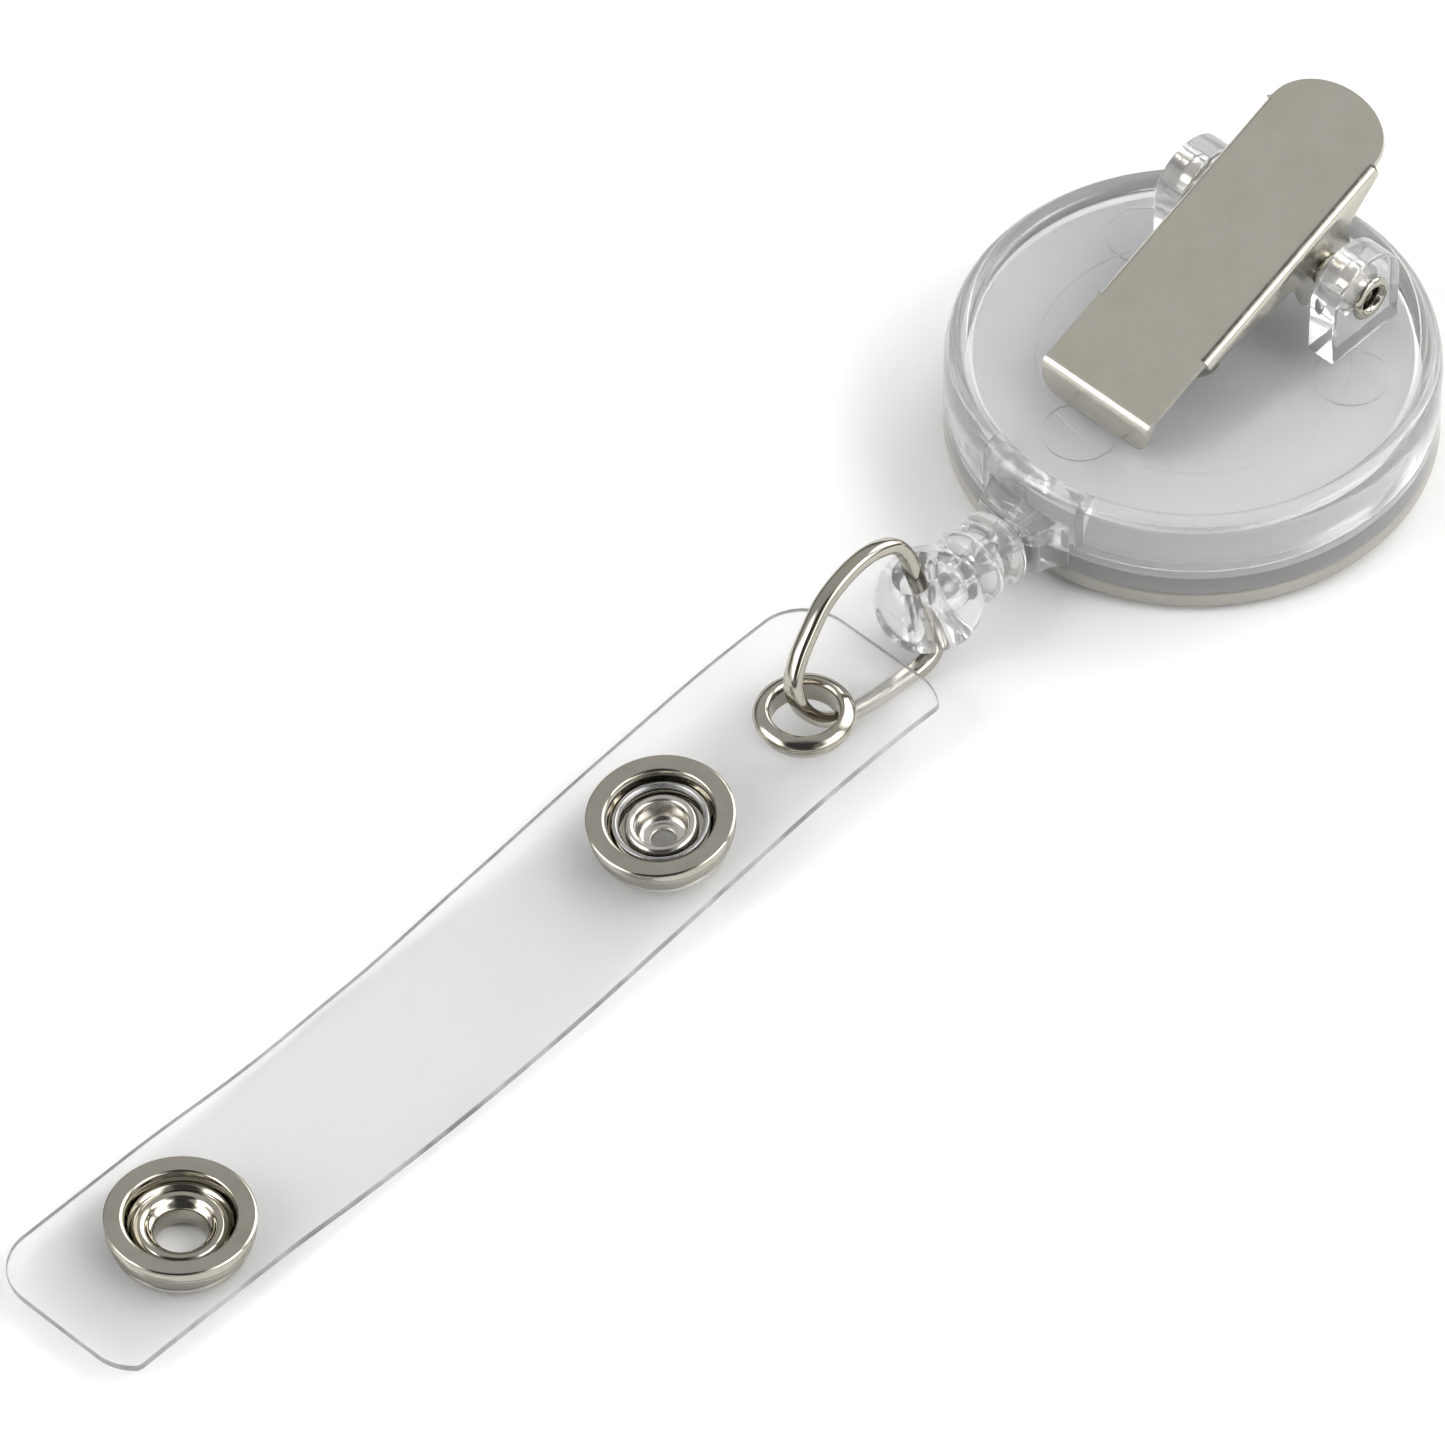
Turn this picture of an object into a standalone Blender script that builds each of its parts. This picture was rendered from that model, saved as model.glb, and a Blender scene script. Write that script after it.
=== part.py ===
"""Retractable badge reel, 32 mm, with a spring clip and a snap strap.

Frame: metres, +Z up. The origin is on the reel's axis, in the plane of the front face that the
reel lies on. The neck, the end bead, the ring and the strap run out along +X.
"""

import math

import bmesh
import bpy
from mathutils import Matrix, Vector

MM = 0.001

# Reel case
CASE_R = 16.0
CASE_WALL = 1.1
CAP_TOP = 1.55
BACK_FLOOR = 7.1
SEAM_Z = 3.9
SHOULDER_Z = 6.5
RIM_R = 15.05
RIM_HALF = 0.85
RIM_Z = 6.95
RIM_INNER = 14.15
CLEARANCE = 0.05
SECTOR_HALF = 3.9

# Neck and cord
NECK_Z = 3.6
CORD_R = 0.45
BORE_R = 0.75
NECK_END = 22.0
RIB_R = 2.65
NECK_WAIST = 1.8

# Spool
SPOOL_R = 14.3
SPOOL_LOW = 2.75
SPOOL_HIGH = 6.2
FLANGE = 0.5
HUB_R = 8.2
HUB_WALL = 0.7
WINDING_R = 12.4
POST_R = 1.7
POST_TOP = 6.1

# End bead
BEAD_X = 24.85
BEAD_R = 3.5
BEAD_START = 22.3

# Metal ring
RING_CORNER = Vector((25.9, -0.35, 6.9))
RING_ACROSS = Vector((1, 0, 0))
RING_UP = Vector((0, -0.31, 0.9507))
RING_WIDTH = 1.2
RING_THICK = 0.9
HOLE_CENTRE = RING_CORNER - 0.22 * RING_ACROSS - 2.6 * RING_UP
HOLE_AXIS = (0.39 * RING_ACROSS + 5.6 * RING_UP).normalized()

# Strap and its snaps
STRAP_Y = -0.28
STRAP_WIDTH = 13.0
STRAP_T = 0.5
STRAP_CORNER = 3.4
EYELET_X, EYELET_Y = 37.0, 0.65
SOCKET_X, SOCKET_Y = 49.4, 0.15
STUD_X, STUD_Y = 92.2, 0.35
FOLD_X = 70.8
STRAP_START, STRAP_END = 29.4, 102.35
SNAP_R = 4.75
POST_OUTER = 1.93
SEAT_GAP = 0.12

# Spring clip
CLIP_Y = -0.5
PIN_X, PIN_Z = -8.35, 11.05
EAR_IN, EAR_OUT = 5.6, 7.85
EAR_R = 3.15
JAW_X, JAW_Z = 8.9, 9.7
CLIP_SLOPE = math.radians(20.4)
CLIP_T = 0.45
PIN_R = 1.1


# ---------------------------------------------------------------- materials


def material(name, colour, roughness, metallic=0.0):
    made = bpy.data.materials.get(name)
    if made:
        return made
    made = bpy.data.materials.new(name)
    made.use_nodes = True
    shader = made.node_tree.nodes["Principled BSDF"]
    shader.inputs["Base Color"].default_value = (*colour, 1.0)
    shader.inputs["Roughness"].default_value = roughness
    shader.inputs["Metallic"].default_value = metallic
    made.diffuse_color = (*colour, 1.0)
    return made


def clear_plastic():
    return material("clear_plastic", (0.86, 0.88, 0.89), 0.12)


def grey_plastic():
    return material("grey_plastic", (0.52, 0.54, 0.55), 0.45)


def nickel():
    return material("nickel_plate", (0.62, 0.59, 0.54), 0.18, 1.0)


def spring_steel():
    return material("spring_steel", (0.45, 0.45, 0.46), 0.3, 1.0)


def cord_nylon():
    return material("cord_nylon", (0.06, 0.06, 0.065), 0.7)


def soft_vinyl():
    return material("soft_vinyl", (0.84, 0.85, 0.85), 0.2)


# ---------------------------------------------------------------- mesh tools


def place_object(name, mesh, finish, origin=(0, 0, 0)):
    """An object for the mesh, whose points are in world millimetres, with its origin at a point."""
    mesh.transform(Matrix.Translation(-Vector(origin)))
    mesh.transform(Matrix.Scale(MM, 4))
    made = bpy.data.objects.new(name, mesh)
    made.location = Vector(origin) * MM
    bpy.context.collection.objects.link(made)
    mesh.materials.append(finish)
    mesh.shade_smooth()
    mesh.set_sharp_from_angle(angle=math.radians(32))
    return made


def mesh_of(bm, name):
    bmesh.ops.remove_doubles(bm, verts=bm.verts, dist=1e-5)
    bmesh.ops.recalc_face_normals(bm, faces=bm.faces)
    mesh = bpy.data.meshes.new(name)
    bm.to_mesh(mesh)
    bm.free()
    return mesh


def turned(name, outline, steps):
    """A mesh from a closed outline of (radius, height) points spun once round the Z axis."""
    bm = bmesh.new()
    points = [bm.verts.new((r, 0, z)) for r, z in outline]
    edges = []
    for index, point in enumerate(points):
        following = points[(index + 1) % len(points)]
        if max(outline[index][0], outline[(index + 1) % len(points)][0]) > 0:
            edges.append(bm.edges.new((point, following)))
    bmesh.ops.spin(
        bm,
        geom=points + edges,
        cent=(0, 0, 0),
        axis=(0, 0, 1),
        angle=2 * math.pi,
        steps=steps,
        use_merge=True,
    )
    return mesh_of(bm, name)


def prism(name, outline, low, high):
    """A mesh from a closed outline of (x, y) points, extruded from one height to another."""
    bm = bmesh.new()
    face = bm.faces.new([bm.verts.new((x, y, low)) for x, y in outline])
    raised = bmesh.ops.extrude_face_region(bm, geom=[face])["geom"]
    moved = [item for item in raised if isinstance(item, bmesh.types.BMVert)]
    bmesh.ops.translate(bm, verts=moved, vec=(0, 0, high - low))
    return mesh_of(bm, name)


def arc(centre, radius, start, end, count):
    """Points on an arc, from one angle to another in degrees."""
    points = []
    for index in range(count + 1):
        angle = math.radians(start + (end - start) * index / count)
        points.append((centre[0] + radius * math.cos(angle), centre[1] + radius * math.sin(angle)))
    return points


def along_x(mesh, z):
    """Turns a mesh spun round Z so that its axis lies along +X at a height."""
    mesh.transform(Matrix.Translation((0, 0, z)) @ Matrix.Rotation(math.pi / 2, 4, "Y"))
    return mesh


def along_y(mesh, x, z):
    """Turns a mesh spun round Z so that its axis lies along +Y through a point."""
    mesh.transform(Matrix.Translation((x, 0, z)) @ Matrix.Rotation(-math.pi / 2, 4, "X"))
    return mesh


def join_or_cut(target, mesh, operation):
    """Applies one Boolean of a mesh in world millimetres to an object."""
    helper = place_object(mesh.name + "_tool", mesh, target.data.materials[0])
    modifier = target.modifiers.new(operation.lower(), "BOOLEAN")
    modifier.operation = operation
    modifier.object = helper
    bpy.context.view_layer.update()
    graph = bpy.context.evaluated_depsgraph_get()
    result = bpy.data.meshes.new_from_object(target.evaluated_get(graph))
    target.modifiers.clear()
    old = target.data
    target.data = result
    bpy.data.meshes.remove(old)
    bpy.data.objects.remove(helper)
    weld(result)


def weld(mesh):
    bm = bmesh.new()
    bm.from_mesh(mesh)
    bmesh.ops.remove_doubles(bm, verts=bm.verts, dist=2e-6)
    bmesh.ops.dissolve_degenerate(bm, edges=bm.edges, dist=2e-6)
    bm.to_mesh(mesh)
    bm.free()


# ---------------------------------------------------------------- reel case


def rim_outline(inner, low):
    """The wall and its rounded rim, from a height up, as (radius, height) points."""
    rounded = arc((RIM_R, RIM_Z), RIM_HALF, 0, 165, 8)
    inside = RIM_INNER + 0.1
    return [(inner, low), (CASE_R, low), (CASE_R, SHOULDER_Z), *rounded, (inside, BACK_FLOOR)]


def add_front_cap():
    outline = [
        (0, 0),
        (CASE_R - 0.5, 0),
        (CASE_R - 0.12, 0.2),
        (CASE_R, 0.5),
        (CASE_R, CAP_TOP - 0.1),
        (CASE_R - 0.1, CAP_TOP),
        (0, CAP_TOP),
    ]
    place_object("front_cap", turned("front_cap", outline, 56), grey_plastic())


def rib(centre, radius, half):
    """A rounded rib standing up from the neck's waist, as (radius, distance) points."""
    points = [(NECK_WAIST, centre - half - 0.1)]
    for index in range(5):
        angle = math.radians(-70 + 35 * index)
        swell = (radius - NECK_WAIST) * math.cos(angle)
        points.append((NECK_WAIST + swell, centre + half * math.sin(angle)))
    return points + [(NECK_WAIST, centre + half + 0.1)]


def neck_outline():
    """The solid ribbed neck before it is bored, as (radius, distance along +X) points."""
    outline = [(0, 15.1), (1.9, 15.1), (1.9, 16.3)]
    for centre, radius, half in ((17.05, 2.35, 0.5), (18.85, RIB_R, 0.8), (21.0, RIB_R, 0.8)):
        outline += rib(centre, radius, half)
    return outline + [(0, NECK_END)]


def add_front_shell():
    inner = CASE_R - CASE_WALL
    low = CAP_TOP + CLEARANCE
    floor = low + 0.8
    outline = [
        (0, low),
        (CASE_R, low),
        (CASE_R, SEAM_Z - CLEARANCE),
        (inner, SEAM_Z - CLEARANCE),
        (inner, floor),
        (POST_R, floor),
        (POST_R, POST_TOP),
        (0, POST_TOP),
    ]
    shell = place_object("front_shell", turned("front_shell", outline, 56), clear_plastic())
    wall = place_object("sector", turned("sector", rim_outline(inner, 3.0), 56), clear_plastic())
    window = [(10, -SECTOR_HALF), (20, -SECTOR_HALF), (20, SECTOR_HALF), (10, SECTOR_HALF)]
    join_or_cut(wall, prism("window", window, 2.9, 9), "INTERSECT")
    piece = wall.data.copy()
    piece.transform(Matrix.Scale(1 / MM, 4))
    bpy.data.objects.remove(wall)
    join_or_cut(shell, piece, "UNION")
    flare = [(14.95, -3.8), *arc((17.9, -5.5), 3.0, 145, 95, 4), (18.0, 0)]
    saddle = flare + [(x, -y) for x, y in reversed(flare[:-1])]
    join_or_cut(shell, prism("saddle", saddle, NECK_Z - 1.9, NECK_Z + 2.1), "UNION")
    join_or_cut(shell, along_x(turned("neck", neck_outline(), 28), NECK_Z), "UNION")
    bore = [(0, 14.4), (1.2, 14.4), (BORE_R, 16.4), (BORE_R, NECK_END - 0.4)]
    bore += [(BORE_R + 0.35, NECK_END + 1), (0, NECK_END + 1)]
    join_or_cut(shell, along_x(turned("bore", bore, 20), NECK_Z), "DIFFERENCE")
    slot = [(-2, -0.25), (2, -0.25), (2, 0.25), (-2, 0.25)]
    join_or_cut(shell, prism("post_slot", slot, SPOOL_LOW, POST_TOP + 1), "DIFFERENCE")


def ear_outline(sides):
    """One ear in its own plane: straight sides up to the pin, then a half round."""
    top = arc((PIN_X, PIN_Z), EAR_R, 0, 180, sides)
    return [(PIN_X + EAR_R, BACK_FLOOR - 0.3), *top, (PIN_X - EAR_R, BACK_FLOOR - 0.3)]


def add_back_shell():
    inner = CASE_R - CASE_WALL
    low = SEAM_Z
    roof = SHOULDER_Z
    rounded = arc((RIM_R, RIM_Z), RIM_HALF, 0, 165, 8)
    outline = [(inner, low), (CASE_R, low), (CASE_R, SHOULDER_Z), *rounded]
    outline += [(RIM_INNER, BACK_FLOOR), (0, BACK_FLOOR), (0, roof), (inner, roof)]
    shell = place_object("back_shell", turned("back_shell", outline, 56), clear_plastic())
    half = SECTOR_HALF + CLEARANCE
    angle = math.degrees(math.asin(half / RIM_INNER))
    notch = arc((0, 0), RIM_INNER, -angle, angle, 10) + [(20, half), (20, -half)]
    join_or_cut(shell, prism("notch", notch, 2, 9), "DIFFERENCE")
    turn = Matrix.Rotation(math.pi / 2, 4, "X")
    for side in (-1, 1):
        ends = sorted((CLIP_Y + side * EAR_IN, CLIP_Y + side * EAR_OUT))
        ear = prism("ear", ear_outline(12), -ends[1], -ends[0])
        ear.transform(turn)
        join_or_cut(shell, ear, "UNION")
        boss = [(0, EAR_IN + 0.5), (1.9, EAR_IN + 0.5), (1.9, EAR_IN)]
        boss += [(1.6, EAR_IN - 0.9), (0, EAR_IN - 0.9)]
        cone = along_y(turned("boss", boss, 20), PIN_X, PIN_Z)
        cone.transform(Matrix.Translation((0, CLIP_Y, 0)) @ Matrix.Scale(side, 4, (0, 1, 0)))
        if side < 0:
            cone.flip_normals()
        join_or_cut(shell, cone, "UNION")
    hole = [(0, -12), (PIN_R + CLEARANCE, -12), (PIN_R + CLEARANCE, 12), (0, 12)]
    join_or_cut(shell, along_y(turned("hole", hole, 20), PIN_X, PIN_Z), "DIFFERENCE")


# ---------------------------------------------------------------- reel works


def add_spool():
    outline = [
        (HUB_R - HUB_WALL, SPOOL_LOW),
        (SPOOL_R, SPOOL_LOW),
        (SPOOL_R, SPOOL_LOW + FLANGE),
        (HUB_R, SPOOL_LOW + FLANGE),
        (HUB_R, SPOOL_HIGH - FLANGE),
        (SPOOL_R, SPOOL_HIGH - FLANGE),
        (SPOOL_R, SPOOL_HIGH),
        (POST_R + CLEARANCE, SPOOL_HIGH),
        (POST_R + CLEARANCE, SPOOL_HIGH - FLANGE),
        (HUB_R - HUB_WALL, SPOOL_HIGH - FLANGE),
    ]
    place_object("spool", turned("spool", outline, 40), grey_plastic())


def add_cord_winding():
    low = SPOOL_LOW + FLANGE + 0.1
    high = SPOOL_HIGH - FLANGE - 0.1
    outline = [(HUB_R + 0.1, low), (WINDING_R - 0.2, low), (WINDING_R, low + 0.3)]
    outline += [(WINDING_R, high - 0.3), (WINDING_R - 0.2, high), (HUB_R + 0.1, high)]
    place_object("cord_winding", turned("cord_winding", outline, 40), cord_nylon())


def add_power_spring():
    """The flat spiral spring, from the slot in the post out to the drum's wall."""
    turns, per_turn, half = 5.0, 18, 0.06
    inner, outer = POST_R + 0.35, HUB_R - HUB_WALL - 0.35
    low, high = SPOOL_LOW + 0.2, SPOOL_HIGH - FLANGE - 0.25
    count = int(turns * per_turn)
    outside, inside = [], []
    for index in range(count + 1):
        angle = 2 * math.pi * turns * index / count
        radius = inner + (outer - inner) * index / count
        outside.append(((radius + half) * math.cos(angle), (radius + half) * math.sin(angle)))
        inside.append(((radius - half) * math.cos(angle), (radius - half) * math.sin(angle)))
    tail = [(-POST_R + 0.2, half), (-POST_R + 0.2, -half)]
    outline = outside + inside[::-1] + tail
    place_object("power_spring", prism("power_spring", outline, low, high), spring_steel())


def rod(name, points, radius, finish, origin=(0, 0, 0), resolution=2):
    """A round rod along hand-placed points, as a bevelled curve with filled ends."""
    curve = bpy.data.curves.new(name, "CURVE")
    curve.dimensions = "3D"
    curve.bevel_depth = radius * MM
    curve.bevel_resolution = resolution
    curve.use_fill_caps = True
    line = curve.splines.new("POLY")
    line.points.add(len(points) - 1)
    for point, place in zip(line.points, points):
        point.co = (*((Vector(place) - Vector(origin)) * MM), 1.0)
    made = bpy.data.objects.new(name, curve)
    made.location = Vector(origin) * MM
    bpy.context.collection.objects.link(made)
    curve.materials.append(finish)
    return made


def between(a, b, c, d, t):
    """The smooth curve's value a share t of the way from b to c, with a before them and d after."""
    lead = 2 * a - 5 * b + 4 * c - d
    bend = 3 * b - a - 3 * c + d
    return 0.5 * (2 * b + (c - a) * t + lead * t * t + bend * t**3)


def smooth_route(route, count):
    """Points read from a smooth curve through a route's own points."""
    ends = [route[0]] + list(route) + [route[-1]]
    vectors = [Vector(point) for point in ends]
    points = []
    for index in range(count + 1):
        place = index / count * (len(route) - 1)
        piece = min(int(place), len(route) - 2)
        points.append(between(*vectors[piece : piece + 4], place - piece))
    return points


def add_cord():
    mouth = 14.4
    angle = math.acos(WINDING_R / mouth)
    radius = WINDING_R + CORD_R + 0.15
    start = (radius * math.cos(angle), -radius * math.sin(angle), NECK_Z + 0.9)
    middle = (12.95, -3.4, NECK_Z + 0.55)
    route = [start, middle, (14.0, -1.15, NECK_Z + 0.15), (14.9, -0.12, NECK_Z), (15.4, 0, NECK_Z)]
    rod("cord_lead", smooth_route(route, 14), CORD_R, cord_nylon())
    straight = [(15.7, 0, NECK_Z), (19, 0, NECK_Z), (23.25, 0, NECK_Z)]
    rod("cord_run", straight, CORD_R, cord_nylon(), straight[0])
    outline = [(0, 23.5)] + arc((0, 24.15), 0.85, -65, 65, 6) + [(0, 24.9)]
    knot = along_x(turned("cord_knot", outline, 14), NECK_Z)
    place_object("cord_knot", knot, cord_nylon(), (24.2, 0, NECK_Z))


def add_end_bead():
    """The round bead on the cord's end, bored for the cord and crossed by a flared ring hole."""
    outline = [(0, BEAD_START), (1.5, BEAD_START), (1.9, BEAD_START + 0.35)]
    outline += arc((0, BEAD_X), BEAD_R, -39, 62, 9)
    outline += [(0, BEAD_X + BEAD_R - 0.3)]
    ball = along_x(turned("end_bead", outline, 28), NECK_Z)
    bead = place_object("end_bead", ball, clear_plastic(), (BEAD_X, 0, NECK_Z))
    bore = [(0, 22), (0.6, 22), (0.6, 23.3), (1.05, 23.4), (1.05, 25.2), (0, 25.2)]
    join_or_cut(bead, along_x(turned("bead_bore", bore, 16), NECK_Z), "DIFFERENCE")
    waist, flare = 1.1, 2.1
    hole = [(0, -5), (flare + 0.6, -5)]
    for step in range(-4, 5):
        along = step * 0.85
        hole.append((waist + (flare - waist) * (along / 3.4) ** 2, along))
    hole += [(flare + 0.6, 5), (0, 5)]
    cutter = turned("ring_hole", hole, 18)
    turn = Vector((0, 0, 1)).rotation_difference(HOLE_AXIS).to_matrix().to_4x4()
    cutter.transform(Matrix.Translation(HOLE_CENTRE) @ turn)
    join_or_cut(bead, cutter, "DIFFERENCE")


def ring_route(per_span):
    """The closed centre line of the ring's wire, in its own plane: nearly straight where it runs
    through the bead, and narrowest where it holds the strap's eyelet."""
    knots = [(11.45, -1.2), (10.6, 0.15), (9.3, 1.3), (7.3, 2.65), (4.9, 3.35), (2.8, 3.4), (1.1, 2.8)]
    knots += [(0.3, 1.7), (0.0, 0.0), (-0.22, -2.6), (-0.38, -4.9), (0.2, -6.2), (1.6, -6.65)]
    knots += [(4.3, -6.5), (6.8, -6.2), (8.7, -5.7), (10.3, -4.6), (11.3, -3.0)]
    points = []
    count = len(knots)
    for index in range(count):
        near = [Vector(knots[(index + step) % count]) for step in (-1, 0, 1, 2)]
        for part in range(per_span):
            points.append(between(*near, part / per_span))
    return points


def add_ring():
    """The closed wire ring: its section is wider along the ring's axis than it is thick."""
    wide, thick = RING_WIDTH / 2 * 1.05, RING_THICK / 2 * 1.05
    normal = RING_ACROSS.cross(RING_UP)
    route = ring_route(4)
    bm = bmesh.new()
    rows = []
    for index, point in enumerate(route):
        ahead = (route[(index + 1) % len(route)] - route[index - 1]).normalized()
        outward = RING_ACROSS * ahead.y - RING_UP * ahead.x
        centre = RING_CORNER + RING_ACROSS * point.x + RING_UP * point.y
        row = []
        for corner in range(8):
            angle = 2 * math.pi * (corner + 0.5) / 8
            place = centre + outward * thick * math.cos(angle) + normal * wide * math.sin(angle)
            row.append(bm.verts.new(place))
        rows.append(row)
    for index, row in enumerate(rows):
        following = rows[(index + 1) % len(rows)]
        for corner in range(8):
            beyond = (corner + 1) % 8
            bm.faces.new((row[corner], row[beyond], following[beyond], following[corner]))
    place_object("ring", mesh_of(bm, "ring"), nickel(), HOLE_CENTRE)


# ---------------------------------------------------------------- strap and snaps


def strap_height(x):
    """Height of the strap's middle layer: flat on the table by the fold, lifted at both snaps."""
    route = [(28, 2.62), (34, 2.87), (40, 2.8), (46, 2.28), (52, 1.68), (58, 1.12), (64, 0.62)]
    route += [(70, 0.34), (76, 0.32), (82, 0.5), (88, 0.85), (94, 1.0), (100, 1.02), (106, 1.0)]
    step = 6.0
    place = min(max((x - route[0][0]) / step, 0.0), len(route) - 1.001)
    index = int(place)
    heights = [route[max(0, min(len(route) - 1, index + offset))][1] for offset in (-1, 0, 1, 2)]
    return between(*heights, place - index)


def strap_pivot():
    """The point where the ring's wire passes through the eyelet, which the strap rocks on."""
    return Vector((36.4, EYELET_Y, strap_height(36.4)))


def strap_frame(x, y):
    """The matrix that sets a piece upright on the strap's middle layer at a point."""
    slope = math.atan2(strap_height(x + 0.5) - strap_height(x - 0.5), 1.0)
    return Matrix.Translation((x, y, strap_height(x))) @ Matrix.Rotation(-slope, 4, "Y")


def strap_piece(name, start, end, rounded_start, holes, origin):
    """One half of the strap as a bent sheet with two rounded corners and its rivet holes."""
    steps = max(4, round((end - start) / 3.2))
    half = STRAP_WIDTH / 2
    bm = bmesh.new()
    rows = []
    cap = STRAP_CORNER
    stations = []
    for index in range(5):
        stations.append(cap * (1 - math.cos(math.pi / 2 * index / 4)))
    run = [cap + (end - start - cap) * index / steps for index in range(1, steps + 1)]
    stations += run
    for station in stations:
        inset = 0.0
        if station < cap:
            inset = cap - math.sqrt(cap**2 - (cap - station) ** 2)
        x = start + station if rounded_start else end - station
        z = strap_height(x)
        side = half - inset
        corners = [(-side, -1), (side, -1), (side, 1), (-side, 1)]
        rows.append([bm.verts.new((x, STRAP_Y + y, z + s * STRAP_T / 2)) for y, s in corners])
    for first, second in zip(rows, rows[1:]):
        for index in range(4):
            following = (index + 1) % 4
            bm.faces.new((first[index], first[following], second[following], second[index]))
    bm.faces.new(rows[0])
    bm.faces.new(rows[-1][::-1])
    piece = place_object(name, mesh_of(bm, name), soft_vinyl(), origin)
    for x, y, radius in holes:
        cutter = turned("rivet_hole", [(0, -3), (radius, -3), (radius, 3), (0, 3)], 20)
        cutter.transform(strap_frame(x, y))
        join_or_cut(piece, cutter, "DIFFERENCE")


def on_strap(name, outline, steps, x, y, finish, origin):
    mesh = turned(name, outline, steps)
    mesh.transform(strap_frame(x, y))
    place_object(name, mesh, finish, origin)


def add_strap():
    gap = 0.15
    eyelet_origin = strap_pivot()
    fold_origin = (FOLD_X, 0, 2.7)
    holes = [(EYELET_X, EYELET_Y, 2.62), (SOCKET_X, SOCKET_Y, 2.02)]
    strap_piece("strap_eyelet_half", STRAP_START, FOLD_X - gap, True, holes, eyelet_origin)
    holes = [(STUD_X, STUD_Y, 2.02)]
    strap_piece("strap_snap_half", FOLD_X + gap, STRAP_END, False, holes, fold_origin)


def add_eyelet():
    origin = strap_pivot()
    top = STRAP_T / 2 + SEAT_GAP
    barrel, bore, flange = 2.55, 2.15, 3.3
    outline = [(bore, -top - 0.35), (bore, top + 0.35), (bore + 0.25, top + 0.6), (2.75, top + 0.68)]
    outline += [(3.15, top + 0.45), (flange, top + 0.15), (flange - 0.1, top)]
    outline += [(barrel, top), (barrel, -top - 0.35)]
    on_strap("eyelet", outline, 28, EYELET_X, EYELET_Y, nickel(), origin)
    inner = barrel + CLEARANCE
    washer = [(inner, -top), (flange, -top), (flange - 0.15, -top - 0.35), (inner, -top - 0.35)]
    on_strap("eyelet_washer", washer, 28, EYELET_X, EYELET_Y, nickel(), origin)


def snap_cup(lift, floor_hole):
    """The turned cup that both snap halves share: a wide flat rim over a waist, open in the middle."""
    rim, mouth = SNAP_R, 3.52
    high = lift + 1.6
    return [
        (floor_hole, lift + 0.25),
        (3.1, lift + 0.25),
        (3.35, lift + 0.85),
        (mouth, high - 0.18),
        (mouth + 0.12, high),
        (rim - 0.12, high),
        (rim, high - 0.15),
        (rim - 0.08, high - 0.42),
        (rim - 0.75, high - 0.8),
        (rim - 0.6, lift + 0.3),
        (rim - 0.15, lift + 0.05),
        (rim - 0.2, lift),
        (floor_hole, lift),
    ]


def post_base(lift, bore):
    """The shallow dish under the strap, from a post's bore out and up to where the strap rests."""
    return [
        (bore, -lift - 0.5),
        (SNAP_R - 0.5, -lift - 0.5),
        (SNAP_R, -lift - 0.25),
        (SNAP_R - 0.05, -lift),
        (POST_OUTER, -lift),
        (POST_OUTER, lift + 0.3),
    ]


def add_socket():
    origin = strap_pivot()
    lift = STRAP_T / 2 + SEAT_GAP
    on_strap("socket_cup", snap_cup(lift, 2.0), 36, SOCKET_X, SOCKET_Y, nickel(), origin)
    ring = [(2.55, lift + 0.75), (2.8, lift + 0.55), (3.1, lift + 0.75), (3.2, lift + 1.0)]
    ring.append((2.9, lift + 1.1))
    on_strap("socket_spring", ring, 28, SOCKET_X, SOCKET_Y, spring_steel(), origin)
    bore, eye = 1.65, 0.75
    post = post_base(lift, eye) + [(2.3, lift + 0.4), (2.35, lift + 0.65), (2.1, lift + 0.85)]
    post += [(bore, lift + 0.7), (bore, -lift - 0.05), (eye, -lift - 0.1)]
    on_strap("socket_post", post, 32, SOCKET_X, SOCKET_Y, nickel(), origin)


def add_stud():
    origin = (FOLD_X, 0, 2.7)
    lift = STRAP_T / 2 + SEAT_GAP
    on_strap("stud_cup", snap_cup(lift, 2.0), 36, STUD_X, STUD_Y, nickel(), origin)
    bore = 1.6
    post = post_base(lift, bore) + [(2.85, lift + 0.35), (2.9, lift + 0.5), (2.55, lift + 0.7)]
    post += [(2.05, lift + 0.5), (bore, lift + 0.15)]
    on_strap("stud_post", post, 32, STUD_X, STUD_Y, nickel(), origin)


# ---------------------------------------------------------------- spring clip


def clip_point(along, across, down=0.0):
    """A point in the clip plate's own plane: along from the jaw, across from its middle, and down
    from its top."""
    x = JAW_X - along * math.cos(CLIP_SLOPE) - down * math.sin(CLIP_SLOPE)
    z = JAW_Z + along * math.sin(CLIP_SLOPE) - down * math.cos(CLIP_SLOPE)
    return Vector((x, CLIP_Y + across, z))


def clip_frame():
    """Takes plate coordinates (along, across, up) to world millimetres."""
    frame = Matrix.Identity(4)
    frame.col[0] = (-math.cos(CLIP_SLOPE), 0, math.sin(CLIP_SLOPE), 0)
    frame.col[1] = (0, 1, 0, 0)
    frame.col[2] = (math.sin(CLIP_SLOPE), 0, math.cos(CLIP_SLOPE), 0)
    frame.translation = clip_point(0, 0)
    return frame


def plate_outline():
    """The lever's top, seen square on: jaw, notches, wide middle and the rounded thumb tab."""
    jaw, wide, tab = 4.5, 4.85, 4.4
    half = [(0.0, jaw), (5.5, jaw), (5.8, wide), (22.7, wide), (23.0, tab)]
    for index in range(1, 8):
        angle = math.pi / 2 * index / 8
        half.append((23.0 + 3.1 * math.sin(angle), tab * math.cos(angle)))
    return half + [(26.1, 0.0)] + [(s, -y) for s, y in reversed(half)]


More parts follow.
